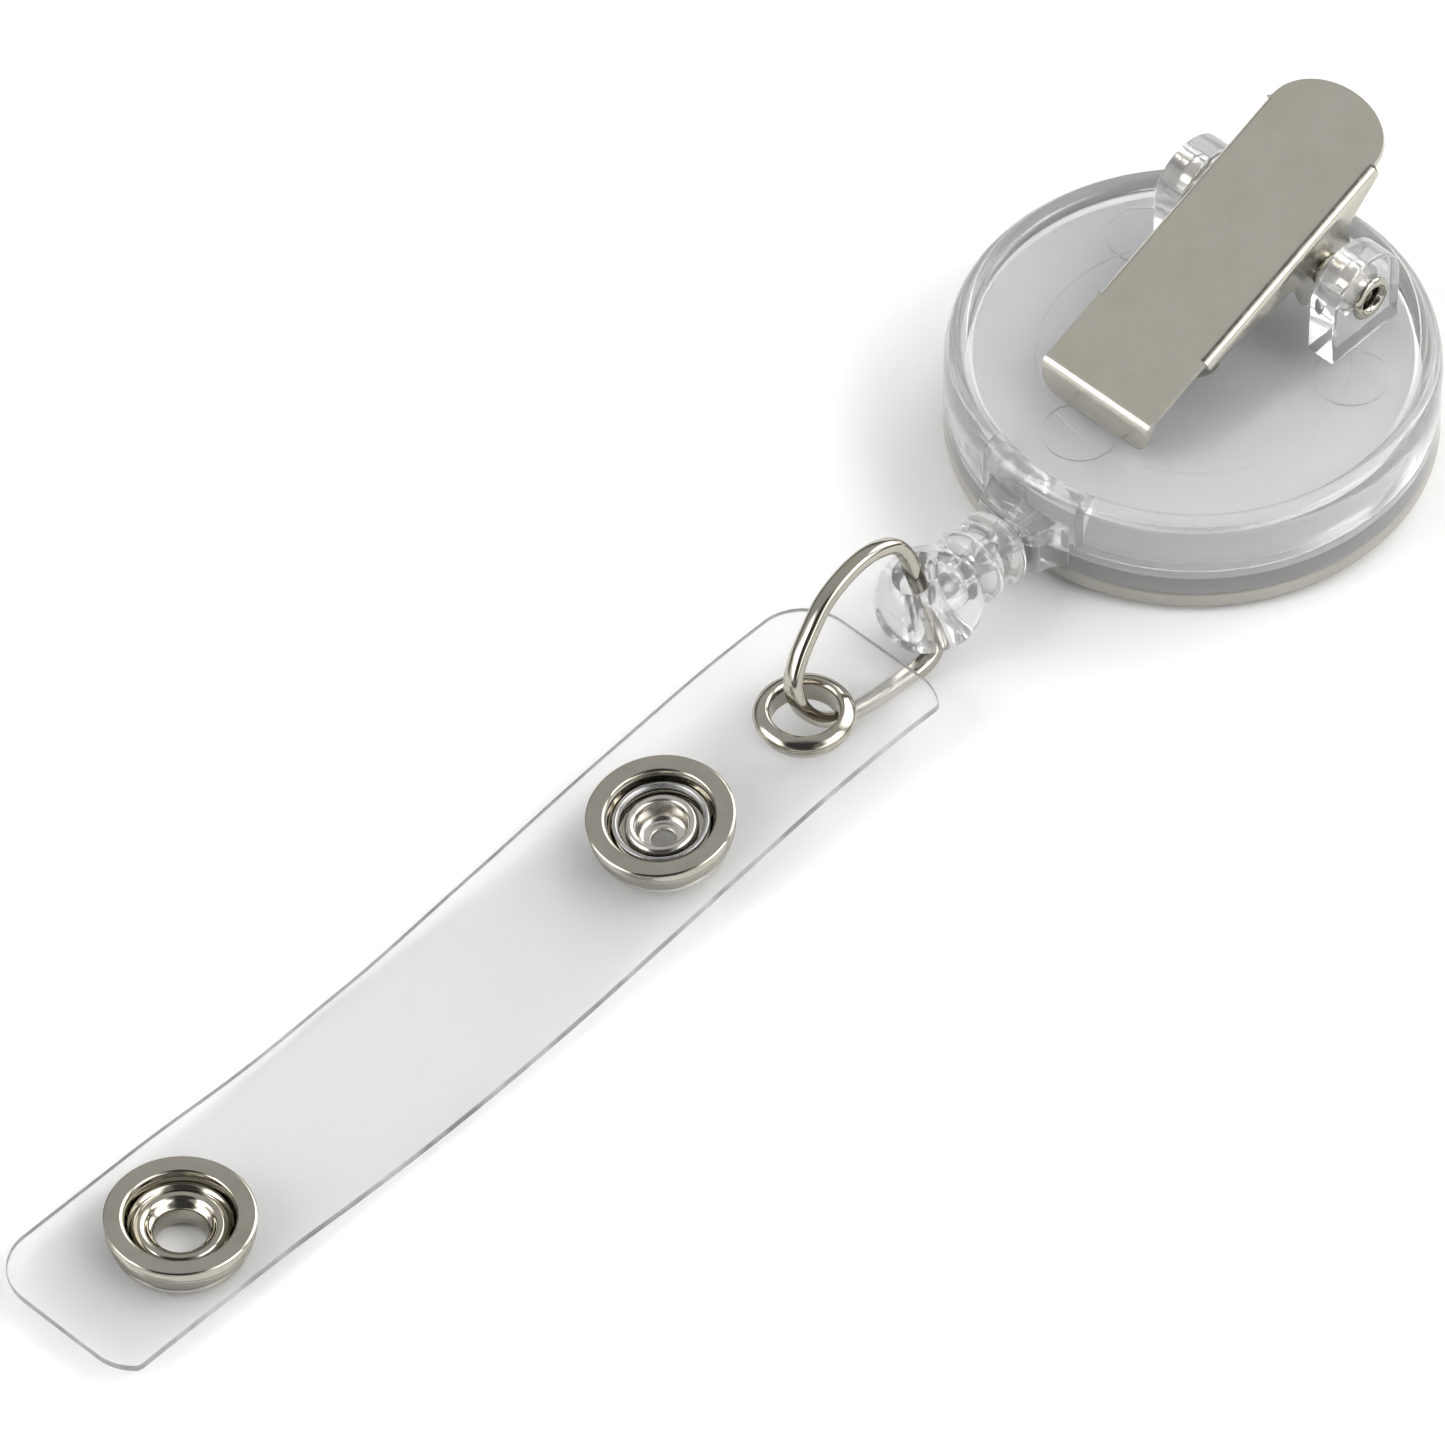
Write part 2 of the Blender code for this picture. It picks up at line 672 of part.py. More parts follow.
def pin_in_plate():
    """The pin's place in plate coordinates: along from the jaw, and up from the plate's top."""
    dx, dz = JAW_X - PIN_X, PIN_Z - JAW_Z
    along = dx * math.cos(CLIP_SLOPE) + dz * math.sin(CLIP_SLOPE)
    up = -dx * math.sin(CLIP_SLOPE) + dz * math.cos(CLIP_SLOPE)
    return along, up


def add_clip_lever():
    origin = (PIN_X, CLIP_Y, PIN_Z)
    frame = clip_frame()
    plate = prism("clip_lever", plate_outline(), -CLIP_T, 0)
    plate.transform(frame)
    lever = place_object("clip_lever", plate, nickel(), origin)
    along, up = pin_in_plate()
    lobe = arc((along, up), 3.0, 35, -215, 14)
    flange = [(22.7, -0.2), (22.7, -0.9), *lobe, (7.2, -1.15), (5.8, -1.0), (5.8, -0.2)]
    lean = math.radians(8)
    for side in (-1, 1):
        sheet = prism("flange", flange, 0, CLIP_T)
        upright = Matrix(((1, 0, 0, 0), (0, 0, side, 0), (0, 1, 0, 0), (0, 0, 0, 1)))
        inward = Matrix.Rotation(-side * lean, 4, "X")
        sheet.transform(Matrix.Translation((0, side * 4.6, 0)) @ inward @ upright)
        bm = bmesh.new()
        bm.from_mesh(sheet)
        bmesh.ops.recalc_face_normals(bm, faces=bm.faces)
        bm.to_mesh(sheet)
        bm.free()
        sheet.transform(frame)
        join_or_cut(lever, sheet, "UNION")
    lip = [(-4.5, 0.0), (4.5, 0.0), (4.5, -1.3), (4.1, -2.1), (3.2, -2.45)]
    lip += [(-3.2, -2.45), (-4.1, -2.1), (-4.5, -1.3)]
    jaw = prism("lip", lip, 0, CLIP_T)
    upright = Matrix(((0, 0, 1, JAW_X - CLIP_T), (1, 0, 0, CLIP_Y), (0, 1, 0, JAW_Z), (0, 0, 0, 1)))
    jaw.transform(upright)
    join_or_cut(lever, jaw, "UNION")
    hole = [(0, -8), (PIN_R + 0.06, -8), (PIN_R + 0.06, 8), (0, 8)]
    join_or_cut(lever, along_y(turned("hole", hole, 20), PIN_X, PIN_Z), "DIFFERENCE")


def add_clip_rivet():
    """The hollow rivet that the lever turns on, rolled over outside both ears."""
    end = EAR_OUT + CLEARANCE
    bore, head = 0.72, 1.6
    rolled = [(PIN_R, end), (head - 0.1, end), (head, end + 0.2), (head - 0.3, end + 0.45)]
    rolled += [(bore + 0.1, end + 0.45), (bore, end + 0.2)]
    outline = rolled + [(radius, -along) for radius, along in reversed(rolled)]
    mesh = along_y(turned("clip_rivet", outline, 20), PIN_X, PIN_Z)
    mesh.transform(Matrix.Translation((0, CLIP_Y, 0)))
    place_object("clip_rivet", mesh, nickel(), (PIN_X, CLIP_Y, PIN_Z))


def add_clip_spring():
    """The torsion spring round the rivet: one leg on the reel's back, one under the lever."""
    wire, coil, turns, per_turn = 0.32, 1.75, 5, 12
    width = 4.4
    points = []
    foot = (PIN_X + 4.6, CLIP_Y - width / 2, BACK_FLOOR + wire + 0.15)
    count = turns * per_turn - 4
    start = math.radians(-75)
    points.append(Vector(foot))
    for index in range(count + 1):
        angle = start - 2 * math.pi * index / per_turn
        y = CLIP_Y - width / 2 + width * index / count
        points.append(Vector((PIN_X + coil * math.cos(angle), y, PIN_Z + coil * math.sin(angle))))
    tip = clip_point(14.2, width / 2, CLIP_T + wire + 0.2)
    points.append(tip)
    rod("clip_spring", points, wire, spring_steel(), (PIN_X, CLIP_Y, PIN_Z), resolution=1)


def main():
    for old in list(bpy.data.objects):
        bpy.data.objects.remove(old)
    add_front_cap()
    add_front_shell()
    add_back_shell()
    add_spool()
    add_cord_winding()
    add_power_spring()
    add_cord()
    add_end_bead()
    add_ring()
    add_strap()
    add_eyelet()
    add_socket()
    add_stud()
    add_clip_lever()
    add_clip_rivet()
    add_clip_spring()


main()
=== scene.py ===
"""Looks for the retractable badge reel: shapes, materials, light and camera round the frame.

Lengths are in millimetres until a piece is placed, and positions start from the frame's own boxes.
"""

import math

import bmesh
import bpy
from mathutils import Matrix, Vector, noise


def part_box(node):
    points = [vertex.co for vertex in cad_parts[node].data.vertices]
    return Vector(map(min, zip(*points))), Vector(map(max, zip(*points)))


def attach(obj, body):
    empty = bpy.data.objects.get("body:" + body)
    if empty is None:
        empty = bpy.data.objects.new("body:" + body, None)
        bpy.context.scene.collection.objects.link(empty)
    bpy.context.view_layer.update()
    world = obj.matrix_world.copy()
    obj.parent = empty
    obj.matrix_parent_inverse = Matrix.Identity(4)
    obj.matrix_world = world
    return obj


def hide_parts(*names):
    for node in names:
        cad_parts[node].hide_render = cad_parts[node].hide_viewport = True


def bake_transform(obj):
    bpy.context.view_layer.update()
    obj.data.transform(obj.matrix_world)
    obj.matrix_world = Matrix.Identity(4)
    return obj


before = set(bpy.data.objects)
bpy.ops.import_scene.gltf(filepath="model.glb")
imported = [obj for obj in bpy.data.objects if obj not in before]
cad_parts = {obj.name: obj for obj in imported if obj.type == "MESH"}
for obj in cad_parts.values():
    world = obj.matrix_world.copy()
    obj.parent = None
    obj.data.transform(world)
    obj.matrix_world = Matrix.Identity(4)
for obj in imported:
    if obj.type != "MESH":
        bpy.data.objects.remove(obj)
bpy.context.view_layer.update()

MM = 0.001


def low(node):
    return Vector(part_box(node)[0]) * 1000


def high(node):
    return Vector(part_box(node)[1]) * 1000


def middle(node):
    return (low(node) + high(node)) / 2


# Sizes read from the frame
CASE_R = high("front_cap").x
CAP_TOP = high("front_cap").z
SEAM_Z = low("back_shell").z
NECK_Z = middle("cord_run").z
NECK_END = high("front_shell").x
SPOOL_LOW, SPOOL_HIGH = low("spool").z, high("spool").z
SPOOL_R = high("spool").x
PIN_X, CLIP_Y, PIN_Z = middle("clip_rivet")
STRAP_START, STRAP_END = low("strap_eyelet_half").x, high("strap_snap_half").x
FOLD_X = (high("strap_eyelet_half").x + low("strap_snap_half").x) / 2

# Reel case
CASE_STEPS = 192
WALL, FLOOR_T = 1.1, 0.8
BACK_FLOOR = 7.1
SHOULDER_Z = 6.5
RIM_R, RIM_HALF, RIM_Z = 15.05, 0.85, 6.95
RIM_INNER = 14.15
GAP = 0.05
POST_R, POST_TOP = 1.7, 6.1
SECTOR_HALF = 3.9
EAR_IN, EAR_OUT, EAR_R = 5.6, 7.85, 3.15
PIN_R = 1.1

# Cord
CORD_R = 0.45
EXIT_X = 15.4
WOUND_R = 12.4

# Ring: its plane, and the hole in the bead that it hangs in
CORNER = Vector((25.9, -0.35, 6.9))
ACROSS = Vector((1, 0, 0))
UP = Vector((0, -0.31, 0.9507))
HOLE = CORNER - 0.22 * ACROSS - 2.6 * UP
HOLE_AXIS = (0.39 * ACROSS + 5.6 * UP).normalized()

# Strap
STRAP_T = 0.5
EYELET = (37.0, 0.65)
SOCKET = (49.4, 0.15)
STUD = (92.2, 0.35)
SEAT = STRAP_T / 2 + 0.12
POST_OUTER = 1.93

# Lever
JAW_X, JAW_Z = 8.9, 9.7
SLOPE = math.radians(20.4)
SHEET = 0.45
LEVER_HALF, JAW_HALF, TAB_HALF = 4.85, 4.5, 4.4
BEND, BEND_STEPS = 0.75, 8
FLANGE_LEAN = math.radians(8)
BEND_REACH = BEND * math.tan(math.radians(49))
SUPPORT = 0.25


# ---------------------------------------------------------------- materials


def mapped(nodes, links, value, start, end, low_value, high_value):
    """A node that carries a value from one range over to another."""
    node = nodes.new("ShaderNodeMapRange")
    node.inputs["From Min"].default_value = start
    node.inputs["From Max"].default_value = end
    node.inputs["To Min"].default_value = low_value
    node.inputs["To Max"].default_value = high_value
    links.new(value, node.inputs["Value"])
    return node


class Finish:
    """A Principled material whose colour, roughness and relief come from layers of 3-D noise."""

    def __init__(self, name, colour, roughness, **settings):
        self.material = bpy.data.materials.new(name)
        self.material.use_nodes = True
        self.nodes = self.material.node_tree.nodes
        self.links = self.material.node_tree.links
        self.shader = self.nodes["Principled BSDF"]
        self.place = self.nodes.new("ShaderNodeTexCoord").outputs["Object"]
        self.normal = None
        self.shader.inputs["Base Color"].default_value = (*colour, 1)
        self.shader.inputs["Roughness"].default_value = roughness
        for key, value in settings.items():
            socket = key.replace("_", " ").title().replace("Ior", "IOR")
            self.shader.inputs[socket].default_value = value

    def stretched(self, stretch):
        node = self.nodes.new("ShaderNodeMapping")
        node.inputs["Scale"].default_value = stretch
        self.links.new(self.place, node.inputs["Vector"])
        return node.outputs["Vector"]

    def grain(self, per_mm, detail=4.0, rough=0.55, stretch=(1, 1, 1)):
        """Noise with so many features to the millimetre."""
        node = self.nodes.new("ShaderNodeTexNoise")
        node.inputs["Scale"].default_value = per_mm / MM
        node.inputs["Detail"].default_value = detail
        node.inputs["Roughness"].default_value = rough
        self.links.new(self.stretched(stretch), node.inputs["Vector"])
        return node.outputs["Fac"]

    def ranged(self, value, start, end, low_value, high_value):
        node = mapped(self.nodes, self.links, value, start, end, low_value, high_value)
        return node.outputs["Result"]

    def colours(self, value, first, second, start=0.35, end=0.65):
        node = self.nodes.new("ShaderNodeMix")
        node.data_type = "RGBA"
        node.inputs["A"].default_value = (*first, 1)
        node.inputs["B"].default_value = (*second, 1)
        self.links.new(self.ranged(value, start, end, 0, 1), node.inputs["Factor"])
        self.links.new(node.outputs["Result"], self.shader.inputs["Base Color"])
        return self

    def polish(self, value, smooth, rough, start=0.35, end=0.65):
        result = self.ranged(value, start, end, smooth, rough)
        self.links.new(result, self.shader.inputs["Roughness"])
        return self

    def relief(self, value, depth_mm, strength=1.0):
        """Adds a layer of bumps on top of those that are there."""
        node = self.nodes.new("ShaderNodeBump")
        node.inputs["Distance"].default_value = depth_mm * MM
        node.inputs["Strength"].default_value = strength
        self.links.new(value, node.inputs["Height"])
        if self.normal:
            self.links.new(self.normal, node.inputs["Normal"])
        self.normal = node.outputs["Normal"]
        self.links.new(self.normal, self.shader.inputs["Normal"])
        return self


def clear_finish(name, tint, clarity, smooth, rough, wave):
    """Moulded clear plastic; what its clarity leaves out of 1 is a milky haze."""
    made = Finish(name, tint, smooth, transmission_weight=clarity, ior=1.47)
    made.polish(made.grain(0.35, 3), smooth, rough)
    made.relief(made.grain(0.16, 2), wave)
    return made.relief(made.grain(1.4, 3), wave * 0.05)


def metal_finish(name, colour, darker, smooth, rough, relief, per_mm):
    """Plated or drawn metal, with cloudy colour and a fine grain."""
    made = Finish(name, colour, smooth, metallic=1.0)
    made.colours(made.grain(0.35, 3), colour, darker, 0.3, 0.7)
    made.polish(made.grain(per_mm * 0.4, 3), smooth, rough)
    return made.relief(made.grain(per_mm, 3), relief)


WATER_CLEAR = (0.995, 0.995, 0.995)
CLEAR = clear_finish(
    "clear_plastic_moulded", WATER_CLEAR, clarity=0.82, smooth=0.03, rough=0.09, wave=0.08
)
CLEAR_RIM = clear_finish(
    "clear_plastic_rim", WATER_CLEAR, clarity=0.86, smooth=0.02, rough=0.07, wave=0.07
)
CLEAR_DISC = clear_finish(
    "clear_plastic_disc", (0.98, 0.985, 0.99), clarity=0.90, smooth=0.12, rough=0.22, wave=0.03
)
CLEAR_BEAD = clear_finish(
    "clear_plastic_bead", WATER_CLEAR, clarity=0.90, smooth=0.02, rough=0.06, wave=0.14
)

# The spool's grey is set lighter than its own tone to make up for the shade of the closed case
# around it: painted light. The noise only gives it a random tone.
GREY = Finish("grey_plastic_lightened_painted_light", (0.88, 0.90, 0.92), 0.42)
GREY.colours(GREY.grain(0.12), (0.86, 0.88, 0.905), (0.92, 0.93, 0.94))
GREY.polish(GREY.grain(2.0), 0.34, 0.52).relief(GREY.grain(5.0), 0.008)

CAP_GREY = Finish("front_cap_plastic", (0.36, 0.35, 0.315), 0.4)
CAP_GREY.colours(CAP_GREY.grain(0.2), (0.345, 0.335, 0.30), (0.39, 0.38, 0.345))
CAP_GREY.polish(CAP_GREY.grain(1.5), 0.32, 0.5).relief(CAP_GREY.grain(6.0), 0.006)

NICKEL = metal_finish(
    "nickel_plate_bright", (0.47, 0.445, 0.39), (0.39, 0.37, 0.32),
    smooth=0.05, rough=0.11, relief=0.0015, per_mm=2.5,
)
NICKEL_FACE = metal_finish(
    "nickel_plate_satin", (0.66, 0.64, 0.60), (0.58, 0.56, 0.52),
    smooth=0.16, rough=0.28, relief=0.003, per_mm=4.0,
)
LEVER = metal_finish(
    "nickel_plate_lever", (0.60, 0.575, 0.51), (0.565, 0.54, 0.475),
    smooth=0.17, rough=0.26, relief=0.0035, per_mm=3.2,
)
WIRE = metal_finish(
    "spring_steel_wire", (0.50, 0.50, 0.50), (0.40, 0.40, 0.40),
    smooth=0.22, rough=0.38, relief=0.004, per_mm=5.0,
)

VINYL = Finish("soft_vinyl_sheet", (0.99, 0.99, 0.99), 0.12, transmission_weight=0.88, ior=1.30)
VINYL.colours(VINYL.grain(0.05), (0.975, 0.98, 0.98), (0.99, 0.99, 0.99))
VINYL.polish(VINYL.grain(0.3), 0.08, 0.18)
VINYL.relief(VINYL.grain(0.09, 3), 0.08).relief(VINYL.grain(3.0), 0.003)

# A darker, less clear copy of the vinyl for the strap's side faces: painted shade for the dark
# look of the clear sheet's cut edges.
VINYL_EDGE_SHADE = Finish(
    "soft_vinyl_edge_painted_shade", (0.30, 0.30, 0.30), 0.35, transmission_weight=0.20, ior=1.30
)
VINYL_EDGE_SHADE.colours(VINYL_EDGE_SHADE.grain(0.25), (0.20, 0.20, 0.195), (0.52, 0.52, 0.515))
VINYL_EDGE_SHADE.relief(VINYL_EDGE_SHADE.grain(1.6), 0.03)

CORD = Finish("cord_nylon_braid", (0.05, 0.05, 0.055), 0.7, sheen_weight=0.25)
CORD.colours(CORD.grain(2.5, 3), (0.10, 0.10, 0.11), (0.20, 0.20, 0.21))
CORD.relief(CORD.grain(3.5, 3, 0.5, (1, 2.2, 2.2)), 0.06)


# ---------------------------------------------------------------- outlines and curves


def arc(centre, radius, start, end, count):
    """Points round a centre, from one angle to another in degrees."""
    points = []
    for index in range(count + 1):
        angle = math.radians(start + (end - start) * index / count)
        x, y = radius * math.cos(angle), radius * math.sin(angle)
        points.append((centre[0] + x, centre[1] + y))
    return points


def softened(outline, radius, count=4):
    """Rounds each corner of a closed outline; corners on the axis stay."""
    result = []
    size = len(outline)
    for index, corner in enumerate(outline):
        here = Vector(corner)
        before = Vector(outline[index - 1]) - here
        after = Vector(outline[(index + 1) % size]) - here
        on_axis = here.x <= 1e-6
        if on_axis or before.angle(-after, 0) < math.radians(8):
            result.append(tuple(here))
            continue
        reach = min(radius, before.length * 0.45, after.length * 0.45)
        first, last = here + before.normalized() * reach, here + after.normalized() * reach
        for step in range(count + 1):
            t = step / count
            result.append(tuple(first * (1 - t) ** 2 + here * 2 * t * (1 - t) + last * t**2))
    return result


def between(a, b, c, d, t):
    """A point on the smooth curve from b to c, steered by a and d, at a share t of the way."""
    lead, bend = 2 * a - 5 * b + 4 * c - d, 3 * b - a - 3 * c + d
    return 0.5 * (2 * b + (c - a) * t + lead * t * t + bend * t**3)


def spline(points, per_span, closed=False):
    """A smooth curve through given points."""
    vectors = [Vector(point) for point in points]
    count = len(vectors)
    result = []
    for index in range(count if closed else count - 1):
        picked = []
        for step in (-1, 0, 1, 2):
            at = (index + step) % count if closed else max(0, min(count - 1, index + step))
            picked.append(vectors[at])
        result += [between(*picked, part / per_span) for part in range(per_span)]
    return result if closed else result + [vectors[-1]]


def eased(x, table):
    """A value at x from (x, value) pairs, going softly from each pair to the next."""
    for (x0, v0), (x1, v1) in zip(table, table[1:]):
        if x <= x1:
            t = min(max((x - x0) / (x1 - x0), 0), 1)
            return v0 + (v1 - v0) * t * t * (3 - 2 * t)
    return table[-1][1]


# ---------------------------------------------------------------- mesh tools


def mesh_of(bm, name):
    bmesh.ops.remove_doubles(bm, verts=bm.verts, dist=1e-4)
    bmesh.ops.dissolve_degenerate(bm, edges=bm.edges, dist=1e-4)
    bmesh.ops.recalc_face_normals(bm, faces=bm.faces)
    mesh = bpy.data.meshes.new(name)
    bm.to_mesh(mesh)
    bm.free()
    return mesh


def turned(name, outline, steps=144):
    """Spins an outline of (radius, height) pairs round the Z axis."""
    bm = bmesh.new()
    points = [bm.verts.new((r, 0, z)) for r, z in outline]
    edges = []
    for index, point in enumerate(points):
        beyond = (index + 1) % len(points)
        if max(outline[index][0], outline[beyond][0]) > 0:
            edges.append(bm.edges.new((point, points[beyond])))
    bmesh.ops.spin(
        bm, geom=points + edges, cent=(0, 0, 0), axis=(0, 0, 1),
        angle=2 * math.pi, steps=steps, use_merge=True,
    )
    return mesh_of(bm, name)


def prism(name, outline, start, end, bevel=0.0):
    """Raises an outline from one height to another."""
    bm = bmesh.new()
    face = bm.faces.new([bm.verts.new((x, y, start)) for x, y in outline])
    raised = bmesh.ops.extrude_face_region(bm, geom=[face])["geom"]
    moved = [item for item in raised if isinstance(item, bmesh.types.BMVert)]
    bmesh.ops.translate(bm, verts=moved, vec=(0, 0, end - start))
    bmesh.ops.recalc_face_normals(bm, faces=bm.faces)
    if bevel:
        sharp = [edge for edge in bm.edges if edge.calc_face_angle(0) > math.radians(50)]
        bmesh.ops.bevel(bm, geom=sharp, offset=bevel, segments=3, profile=0.5, affect="EDGES")
    return mesh_of(bm, name)


def loft(name, rows, closed=False):
    """A skin over rings of points; an open one gets flat ends."""
    bm = bmesh.new()
    made = [[bm.verts.new(point) for point in row] for row in rows]
    pairs = list(zip(made, made[1:]))
    if closed:
        pairs.append((made[-1], made[0]))
    for first, second in pairs:
        for index in range(len(first)):
            beyond = (index + 1) % len(first)
            bm.faces.new((first[index], first[beyond], second[beyond], second[index]))
    if not closed:
        bm.faces.new(made[0][::-1])
        bm.faces.new(made[-1])
    return mesh_of(bm, name)


def tube(name, points, radius, sides=16):
    """A round rod whose rings keep facing along the route without twisting."""
    rows = []
    side = None
    turn = [2 * math.pi * corner / sides for corner in range(sides)]
    for index, point in enumerate(points):
        beyond = points[min(index + 1, len(points) - 1)]
        ahead = (beyond - points[max(index - 1, 0)]).normalized()
        if side is None:
            side = ahead.orthogonal().normalized()
        side = (side - ahead * side.dot(ahead)).normalized()
        other = ahead.cross(side)
        rows.append([point + (side * math.cos(a) + other * math.sin(a)) * radius for a in turn])
    return loft(name, rows)


def placed(mesh, matrix):
    mesh.transform(matrix)
    return mesh


def along_x(mesh, z):
    """Lays a turned shape along +X at a height."""
    return placed(mesh, Matrix.Translation((0, 0, z)) @ Matrix.Rotation(math.pi / 2, 4, "Y"))


def along_y(mesh, x, y, z):
    """Lays a turned shape along Y through a point."""
    return placed(mesh, Matrix.Translation((x, y, z)) @ Matrix.Rotation(-math.pi / 2, 4, "X"))


def raw(name, mesh):
    """An unfinished object in millimetres, for cutting and joining."""
    made = bpy.data.objects.new(name, mesh)
    bpy.context.collection.objects.link(made)
    return made


def baked(target):
    """Replaces an object's mesh by what its modifiers make of it."""
    bpy.context.view_layer.update()
    graph = bpy.context.evaluated_depsgraph_get()
    result = bpy.data.meshes.new_from_object(target.evaluated_get(graph))
    target.modifiers.clear()
    target.data = result


def combine(target, mesh, operation):
    helper = raw("helper", mesh)
    modifier = target.modifiers.new("join", "BOOLEAN")
    modifier.operation = operation
    modifier.object = helper
    baked(target)
    bpy.data.objects.remove(helper)


def shade(target, degrees):
    """Smooth shading that keeps flat faces flat."""
    target.data.shade_smooth()
    target.data.set_sharp_from_angle(angle=math.radians(degrees))
    modifier = target.modifiers.new("normals", "WEIGHTED_NORMAL")
    modifier.keep_sharp = True
    baked(target)


def finished(target, finish, body, replaces=(), angle=32):
    """Scales a piece to metres, gives it its look, and sets it on its body."""
    target.data.transform(Matrix.Scale(MM, 4))
    target.data.materials.clear()
    target.data.materials.append(finish.material)
    shade(target, angle)
    if body:
        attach(target, body)
    if replaces:
        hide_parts(*replaces)
    return target


def piece(name, mesh, finish, body, replaces=(), angle=32):
    return finished(raw(name, mesh), finish, body, replaces, angle)


def repaint(target, finish, wanted):
    """Gives a second look to the faces that pass a test."""
    target.data.materials.append(finish.material)
    for face in target.data.polygons:
        if wanted(face):
            face.material_index = 1


# ---------------------------------------------------------------- reel case


def rim_curve():
    return arc((RIM_R, RIM_Z), RIM_HALF, 0, 165, 16)


def add_sector(shell):
    """The stretch of wall and rim at the neck, which belongs to the front half."""
    inner, base, half = CASE_R - WALL, 3.0, SECTOR_HALF
    band = [(inner, base), (CASE_R, base), (CASE_R, SHOULDER_Z), *rim_curve()]
    band.append((RIM_INNER + 0.1, BACK_FLOOR))
    wall = raw("wall", turned("wall", band, CASE_STEPS))
    window = [(10, -half), (20, -half), (20, half), (10, half)]
    combine(wall, prism("window", window, base - 0.1, 9), "INTERSECT")
    combine(shell, wall.data.copy(), "UNION")
    bpy.data.objects.remove(wall)


def add_neck(shell):
    """The saddle that flares out of the wall, and the neck with its three ribs."""
    flare = [(14.95, -3.8), *arc((17.9, -5.5), 3.0, 145, 95, 10), (18.0, 0)]
    saddle = flare + [(x, -y) for x, y in reversed(flare[:-1])]
    combine(shell, prism("saddle", saddle, NECK_Z - 1.9, NECK_Z + 2.1, 0.35), "UNION")
    root, swell = 1.8, 12
    neck = [(0, 15.1), (1.9, 15.1), (1.9, 16.3)]
    for centre, radius, width in ((17.05, 2.35, 0.5), (18.85, 2.65, 0.8), (21.0, 2.65, 0.8)):
        neck.append((root, centre - width - 0.1))
        for index in range(swell + 1):
            angle = math.radians(-80 + 160 * index / swell)
            across = root + (radius - root) * math.cos(angle)
            neck.append((across, centre + width * math.sin(angle)))
        neck.append((root, centre + width + 0.1))
    neck.append((0, NECK_END + 0.05))
    combine(shell, along_x(turned("neck", neck, 64), NECK_Z), "UNION")
    bore, mouth = 0.75, 1.1
    hole = [(0, 14.4), (1.2, 14.4), (bore, 16.4), (bore, NECK_END - 0.4)]
    hole += [(mouth, NECK_END + 1), (0, NECK_END + 1)]
    combine(shell, along_x(turned("bore", softened(hole, 0.4), 40), NECK_Z), "DIFFERENCE")


def make_front():
    """The cap that the reel lies on, and the clear front half."""
    edge = 0.5
    cap = [(0, 0), (CASE_R - edge, 0), (CASE_R, edge), (CASE_R, CAP_TOP), (0, CAP_TOP)]
    cap = turned("cap", softened(cap, 0.35, 6), CASE_STEPS)
    piece("front_cap_looks", cap, CAP_GREY, "case", ["front_cap"])
    inner, bottom = CASE_R - WALL, CAP_TOP + GAP
    floor, top = bottom + FLOOR_T, SEAM_Z - GAP
    outline = [(0, bottom), (CASE_R, bottom), (CASE_R, top), (inner, top)]
    outline += [(inner, floor), (POST_R, floor), (POST_R, POST_TOP), (0, POST_TOP)]
    shell = raw("front_shell_looks", turned("shell", softened(outline, 0.14, 3), CASE_STEPS))
    add_sector(shell)
    add_neck(shell)
    finished(shell, CLEAR, "case", ["front_shell"])


def add_ejector_marks(shell):
    """Three shallow circles on the disc, as the photo shows them."""
    mark_in, mark_out, depth = 2.38, 2.52, 0.08
    base = BACK_FLOOR - depth
    outline = [(mark_in, base), (mark_in, 7.3), (mark_out, 7.3), (mark_out, base)]
    for reach, turn in ((10.2, -3), (10.3, 120), (10.6, -120)):
        angle = math.radians(turn)
        spot = Matrix.Translation((reach * math.cos(angle), reach * math.sin(angle), 0))
        combine(shell, placed(turned("mark", outline, 48), spot), "DIFFERENCE")


def add_ear(shell, side):
    """An ear for the rivet, with the boss that keeps the lever in the middle."""
    foot = BACK_FLOOR - 0.3
    ear = [(PIN_X + EAR_R, foot), *arc((PIN_X, PIN_Z), EAR_R, 0, 180, 28), (PIN_X - EAR_R, foot)]
    near, far = sorted((CLIP_Y + side * EAR_IN, CLIP_Y + side * EAR_OUT))
    stand = Matrix.Rotation(math.pi / 2, 4, "X")
    combine(shell, placed(prism("ear", ear, -far, -near, 0.22), stand), "UNION")
    wide, narrow, sunk, length = 1.9, 1.6, EAR_IN + 0.5, 0.9
    tip = EAR_IN - length
    boss = [(0, sunk), (wide, sunk), (wide, EAR_IN), (narrow, tip), (0, tip)]
    flip = Matrix.Rotation(-side * math.pi / 2, 4, "X")
    flip = Matrix.Translation((PIN_X, CLIP_Y, PIN_Z)) @ flip
    combine(shell, placed(turned("boss", softened(boss, 0.2), 48), flip), "UNION")


